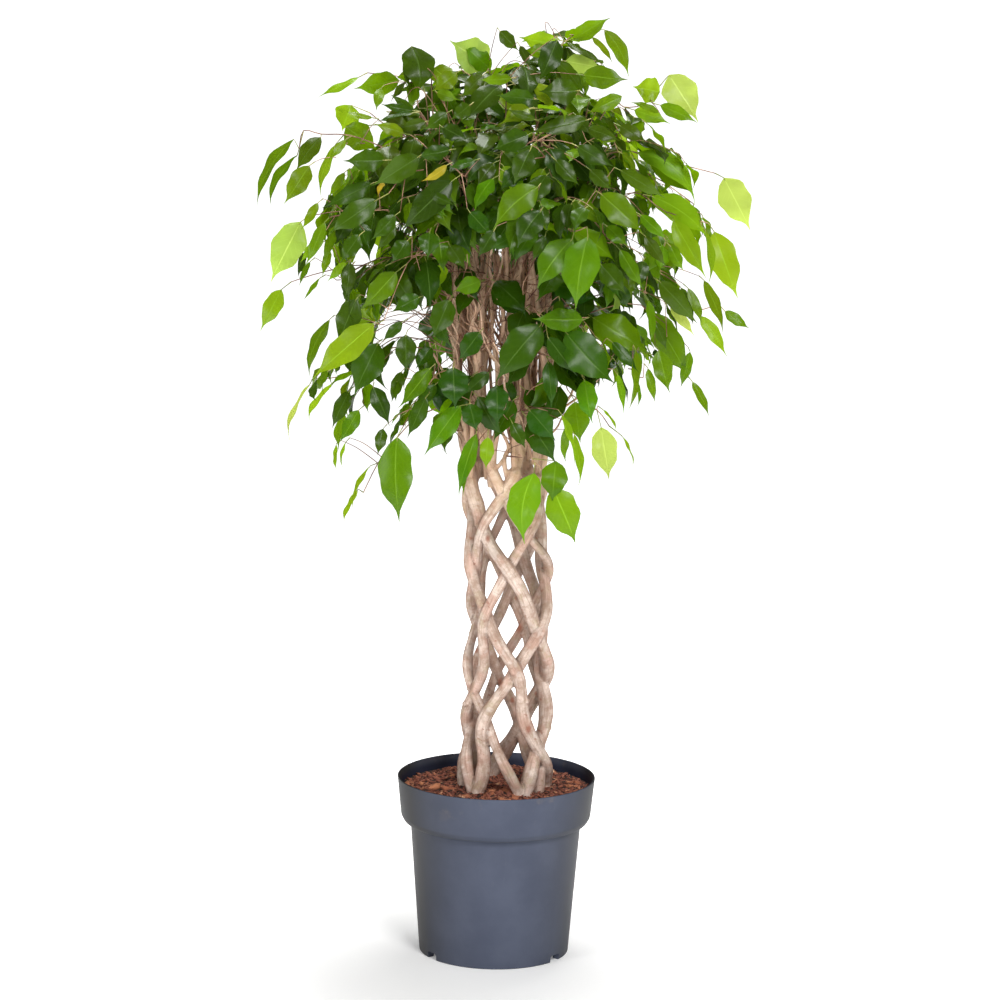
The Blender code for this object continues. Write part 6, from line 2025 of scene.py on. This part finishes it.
def shade_of(mesh, reach, rays):
    """Stores how far each point is shut in by the wood round it, and how far it faces the trunk's inside, for
    the bark's painted shade.
    """
    mesh.calc_loop_triangles()
    points = [vert.co.copy() for vert in mesh.vertices]
    tree = BVHTree.FromPolygons(points, [tuple(face.vertices) for face in mesh.loop_triangles])
    chance = random.Random(SEED + 21)
    directions = []
    while len(directions) < rays:
        ray = Vector([chance.uniform(-1, 1) for _ in range(3)])
        if 0.2 < ray.length < 1:
            directions.append(ray.normalized())
    shut, inside = [], []
    for vert in mesh.vertices:
        normal = vert.normal
        start = vert.co + normal * 0.0006
        hits = sum(
            1 for ray in directions
            if tree.ray_cast(start, ray if ray.dot(normal) > 0 else -ray, reach)[0]
        )
        shut.append(hits / rays)
        inside.append(min(max(0.5 - 0.9 * normal.dot(from_axis(vert.co).normalized()), 0.0), 1.0))
    store(mesh, "shut", shut)
    store(mesh, "inside", inside)


def mark_knots(mesh):
    """Stores how near each point that faces the front lies to a knot's middle."""
    marks = []
    for vert in mesh.vertices:
        flat = on_middle_plane(vert.co) / CM
        near = [1 - math.hypot(flat.x - x, (flat.z - z) * 0.7) / size for x, z, size in KNOTS]
        marks.append(max(0.0, *near) if vert.normal.y < -0.1 else 0.0)
    store(mesh, "knot", marks)


def make_trunk(material):
    """The stems grown together where they meet, and the feet of the upright branches."""
    chance = random.Random(SEED + 5)
    paths = [shown_stem(chance, way, index) for way, index in STEMS]
    shapes = [tube(path, radii, STEM_SIDES_SHOWN) for path, radii in paths]
    feet = []
    for path, radii in main_limbs():
        low = [i for i in range(len(path)) if path[i].z < LIMB_FOOT_TOP]
        if len(low) > 3:
            thick = [radii[i] * (1.05 - 0.2 * i / len(low)) for i in low]
            feet.append(([path[i] for i in low], thick))
            shapes.append(tube(*feet[-1], 8))
    for _ in range(STUBS):
        path, radii = chance.choice(paths)
        i = chance.randrange(12, len(path) - 8)
        turn = outward(chance.uniform(0, 360))
        direction = (from_axis(path[i]).normalized() + turn * 0.7).normalized()
        tip = path[i] + direction * (radii[i] + chance.uniform(0.0005, 0.0030))
        shapes.append(tube([path[i], tip], [radii[i] * 0.6, chance.uniform(0.0022, 0.0045)], 8))
    trunk = plain_object("woven_stems", mesh_of("woven_stems", *joined(shapes)))
    remesh = trunk.modifiers.new("Grow together", "REMESH")
    remesh.mode, remesh.voxel_size, remesh.adaptivity = "VOXEL", VOXEL, 0.0
    mesh = evaluated_mesh(trunk)
    remove(trunk)
    smooth_creases(mesh, CREASE_ROUNDS, CREASE_SHARE)
    trunk = plain_object("woven_stems", mesh)
    fewer = trunk.modifiers.new("Fewer faces", "DECIMATE")
    fewer.ratio = TRUNK_TRIANGLES / (2 * len(mesh.polygons))
    fewer.use_collapse_triangulate = True
    mesh = evaluated_mesh(trunk)
    remove(trunk)
    shade_of(mesh, SHADE_REACH, 10)
    mark_knots(mesh)
    trunk = plain_object("woven_stems", mesh, material)
    mesh.name = "woven_stems"
    mark_grain(mesh, grain_samples(paths + feet))
    mesh.shade_smooth()
    return trunk


# Scene


def make_floor():
    material, nodes = new_material("studio_floor")
    place = nodes.place().vector("SUBTRACT", (0.0, -0.1, 0.0))
    # The floor glows as painted light: a little near the pot, where its shadow shows, and fully further out
    far = 0.18 + place.vector("LENGTH", name="Value").ramp(0.10, 0.80) * 0.82
    glow = {"Emission Color": nodes.vector(far, far, far), "Emission Strength": 0.9}
    nodes.show(nodes.skin((0.90, 0.895, 0.885, 1), 0.35, glow))
    side = 3.5
    corners = [Vector((x * side, y * side, 0.0)) for x, y in ((-1, -1), (1, -1), (1, 1), (-1, 1))]
    floor = plain_object("studio_floor", mesh_of("studio_floor", corners, [(0, 1, 2, 3)]), material)


def add_light(name, place, target, size, power):
    lamp = bpy.data.lights.new(name, "AREA")
    lamp.shape = "RECTANGLE"
    lamp.size, lamp.size_y = size
    lamp.energy = power
    thing = plain_object(name, lamp)
    place, target = Vector(place), Vector(target)
    turn = (target - place).to_track_quat("-Z", "Y").to_matrix().to_4x4()
    thing.matrix_world = Matrix.Translation(place) @ turn


def make_lights():
    world = bpy.data.worlds.new("studio")
    bpy.context.scene.world = world
    world.use_nodes = True
    nodes = Nodes(world.node_tree)
    back = world.node_tree.nodes["Background"]
    seen = nodes.add("ShaderNodeLightPath", {}, {}, "Is Camera Ray")
    mirrored = nodes.add("ShaderNodeLightPath", {}, {}, "Is Glossy Ray")
    strength = 0.36 + seen * 0.84 - mirrored * 0.28
    nodes.tree.links.new(strength.socket, back.inputs["Strength"])
    back.inputs["Color"].default_value = (1.0, 1.0, 1.0, 1.0)
    for light in LIGHTS:
        add_light(*light)
    bpy.context.scene.view_settings.view_transform = "Standard"


def make_camera():
    lens = bpy.data.cameras.new("camera")
    lens.lens = LENS
    lens.sensor_width = 36.0
    lens.clip_start, lens.clip_end = 0.1, 100.0
    camera = plain_object("camera", lens)
    camera.matrix_world = (
        Matrix.Translation((EYE_SIDE, -EYE_DISTANCE, EYE_HEIGHT))
        @ Matrix.Rotation(math.radians(90 - EYE_PITCH), 4, "X")
        @ Matrix.Rotation(math.radians(EYE_ROLL), 4, "Z")
    )
    bpy.context.scene.camera = camera


def settle(piece, slot_name, *replaced):
    """Joins a piece to the plant's body and hides the nodes that it replaces. Its slot_name is not used."""
    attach(piece, "root")
    if replaced:
        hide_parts(*replaced)


def group_of(spray):
    """The part of the crown that a spray's leaves belong to."""
    name = spray.name
    if name.startswith("fill"):
        return next(tier[0] for tier in TIERS if spray.path[-1].z > tier[2] - 0.05 or tier is TIERS[-1])
    for tier in TIERS:
        if name.startswith(f"spray_{tier[0]}_"):
            return tier[0]
    if "left" in name:
        return "left"
    return "right" if "right" in name else "front"


def make_soil_and_chips():
    soil = make_soil(soil_material("wet_coir", SOIL_COLOURS, 300.0))
    settle(soil, "soil", "soil")
    brown = soil_material("bark_chips", CHIP_COLOURS, 520.0)
    orange = soil_material("large_chips", LARGE_CHIP_COLOURS, 300.0)
    tree = chip_tree()
    values = {"Least": CHIP_SIZES[0], "Most": CHIP_SIZES[1], "Edge": inner_wall(SOIL_EDGE) - CHIP_EDGE}
    for name, density, size, tilt, seed in CHIPS:
        values.update(Density=density, Size=size, Tilt=tilt, Seed=seed)
        values["Chip"] = orange if name == "large_chips" else brown
        settle(made_by_nodes(name, soil.data.copy(), tree, values), "soil")


def make_wood(tree):
    """The woven stems and the upright branches. It returns the branches and the fine twigs on them."""
    bark = bark_material()
    settle(make_trunk(bark), "bark", "woven_trunk")
    chance = random.Random(SEED + 8)
    limbs = main_limbs()
    limbs += inner_limbs(chance, limbs, INNER_LIMBS)
    limbs += side_limbs(chance, limbs, *SIDE_LIMBS)
    piece = branches("upright_branches", tree, limbs, 8, bark)
    mark_grain(piece.data, grain_samples(limbs))
    shade_of(piece.data, SHADE_REACH, 8)
    settle(piece, "bark", "woven_trunk")
    fine = side_limbs(chance, limbs, *LONG_TWIGS)
    fine += side_limbs(chance, fine, *SIDE_TWIGS)
    fine += side_limbs(chance, limbs, *LOW_TWIGS)
    return limbs, [(path, radii) for path, radii in fine if not any(map(out_of_place, path))]


def out_of_place(point):
    """Whether a fine twig's point shows in an opening, or low down beside the upright branches."""
    aside = abs(point.x - trunk_axis(point.z).x)
    return in_opening(point) or (point.z < BARE_TOP and aside > BARE_HALF_WIDTH)


def set_tone(chance, leaf):
    """The green of a leaf that has none of its own, with painted shade: deeper inside the crown and at its
    front middle, lighter outside.
    """
    out = outness(leaf, TONE_MIDDLE, TONE_HALF)
    mean = 0.08 if leaf.base.y < -0.08 and out < 0.75 else 0.12 + 0.24 * out
    leaf.tone = min(max(chance.gauss(mean, 0.13), 0.0), 0.80)


def shown_twigs(sprays):
    """Each spray's twig out to its last leaf, from inside the branch that it grows on."""
    twigs = []
    for spray in sprays:
        held = [i for i, p in enumerate(spray.path) if any(p == leaf.node for leaf in spray.leaves)]
        last = max(held, default=0)
        if last:
            foot = spray.path[0]
            root = foot - from_axis(foot).normalized() * 0.006
            path = smooth_path([root, *spray.path[: last + 1]], [3] * (last + 1))
            thin = FILL_TWIG_SHARE if spray.name.startswith("fill") else TWIG_SHARE
            twigs.append((path, [radius * thin for radius in twig_radii(len(path))]))
    return twigs


def main():
    make_camera()
    make_lights()
    make_floor()
    settle(make_pot(pot_plastic()), "pot", "pot")
    make_soil_and_chips()
    tree = branch_tree()
    limbs, fine = make_wood(tree)

    sprays = all_sprays(limbs)
    chance = random.Random(SEED + 11)
    kinds = [(most, leaf_material(name, *look)) for name, most, *look in LEAF_KINDS]
    blades = leaf_tree(kinds)
    groups = {}
    for spray in sprays:
        groups.setdefault(group_of(spray), []).append(spray)
        for leaf in spray.leaves:
            if leaf.tone is None:
                set_tone(chance, leaf)
    nodes = [spray.name for spray in sprays if spray.name.startswith("spray")]
    bark = cloudy_material("fig_twig", 34.0, 0.38, 0.62, (0.150, 0.060, 0.038), (0.420, 0.240, 0.150), 0.6)
    settle(branches("twigs", tree, shown_twigs(sprays) + fine, 5, bark), "bark", *nodes)
    leaves = [leaf for spray in sprays for leaf in spray.leaves]
    stalks = [smooth_path([leaf.node, leaf.base, leaf.rib(0.05)], [3, 1]) for leaf in leaves]
    green = cloudy_material("leaf_stalk", 50.0, 0.35, 0.65, (0.150, 0.200, 0.030), (0.340, 0.320, 0.090), 0.5)
    stalks = [(path, list(STALK_RADII)) for path in stalks]
    settle(branches("leaf_stalks", tree, stalks, 4, green), "leaf", *nodes)
    for group, members in groups.items():
        leaves = [leaf for spray in members for leaf in spray.leaves]
        piece = leaves_piece("foliage_" + group, blades, leaves, chance)
        settle(piece, "leaf", *[spray.name for spray in members if spray.name.startswith("spray")])


main()
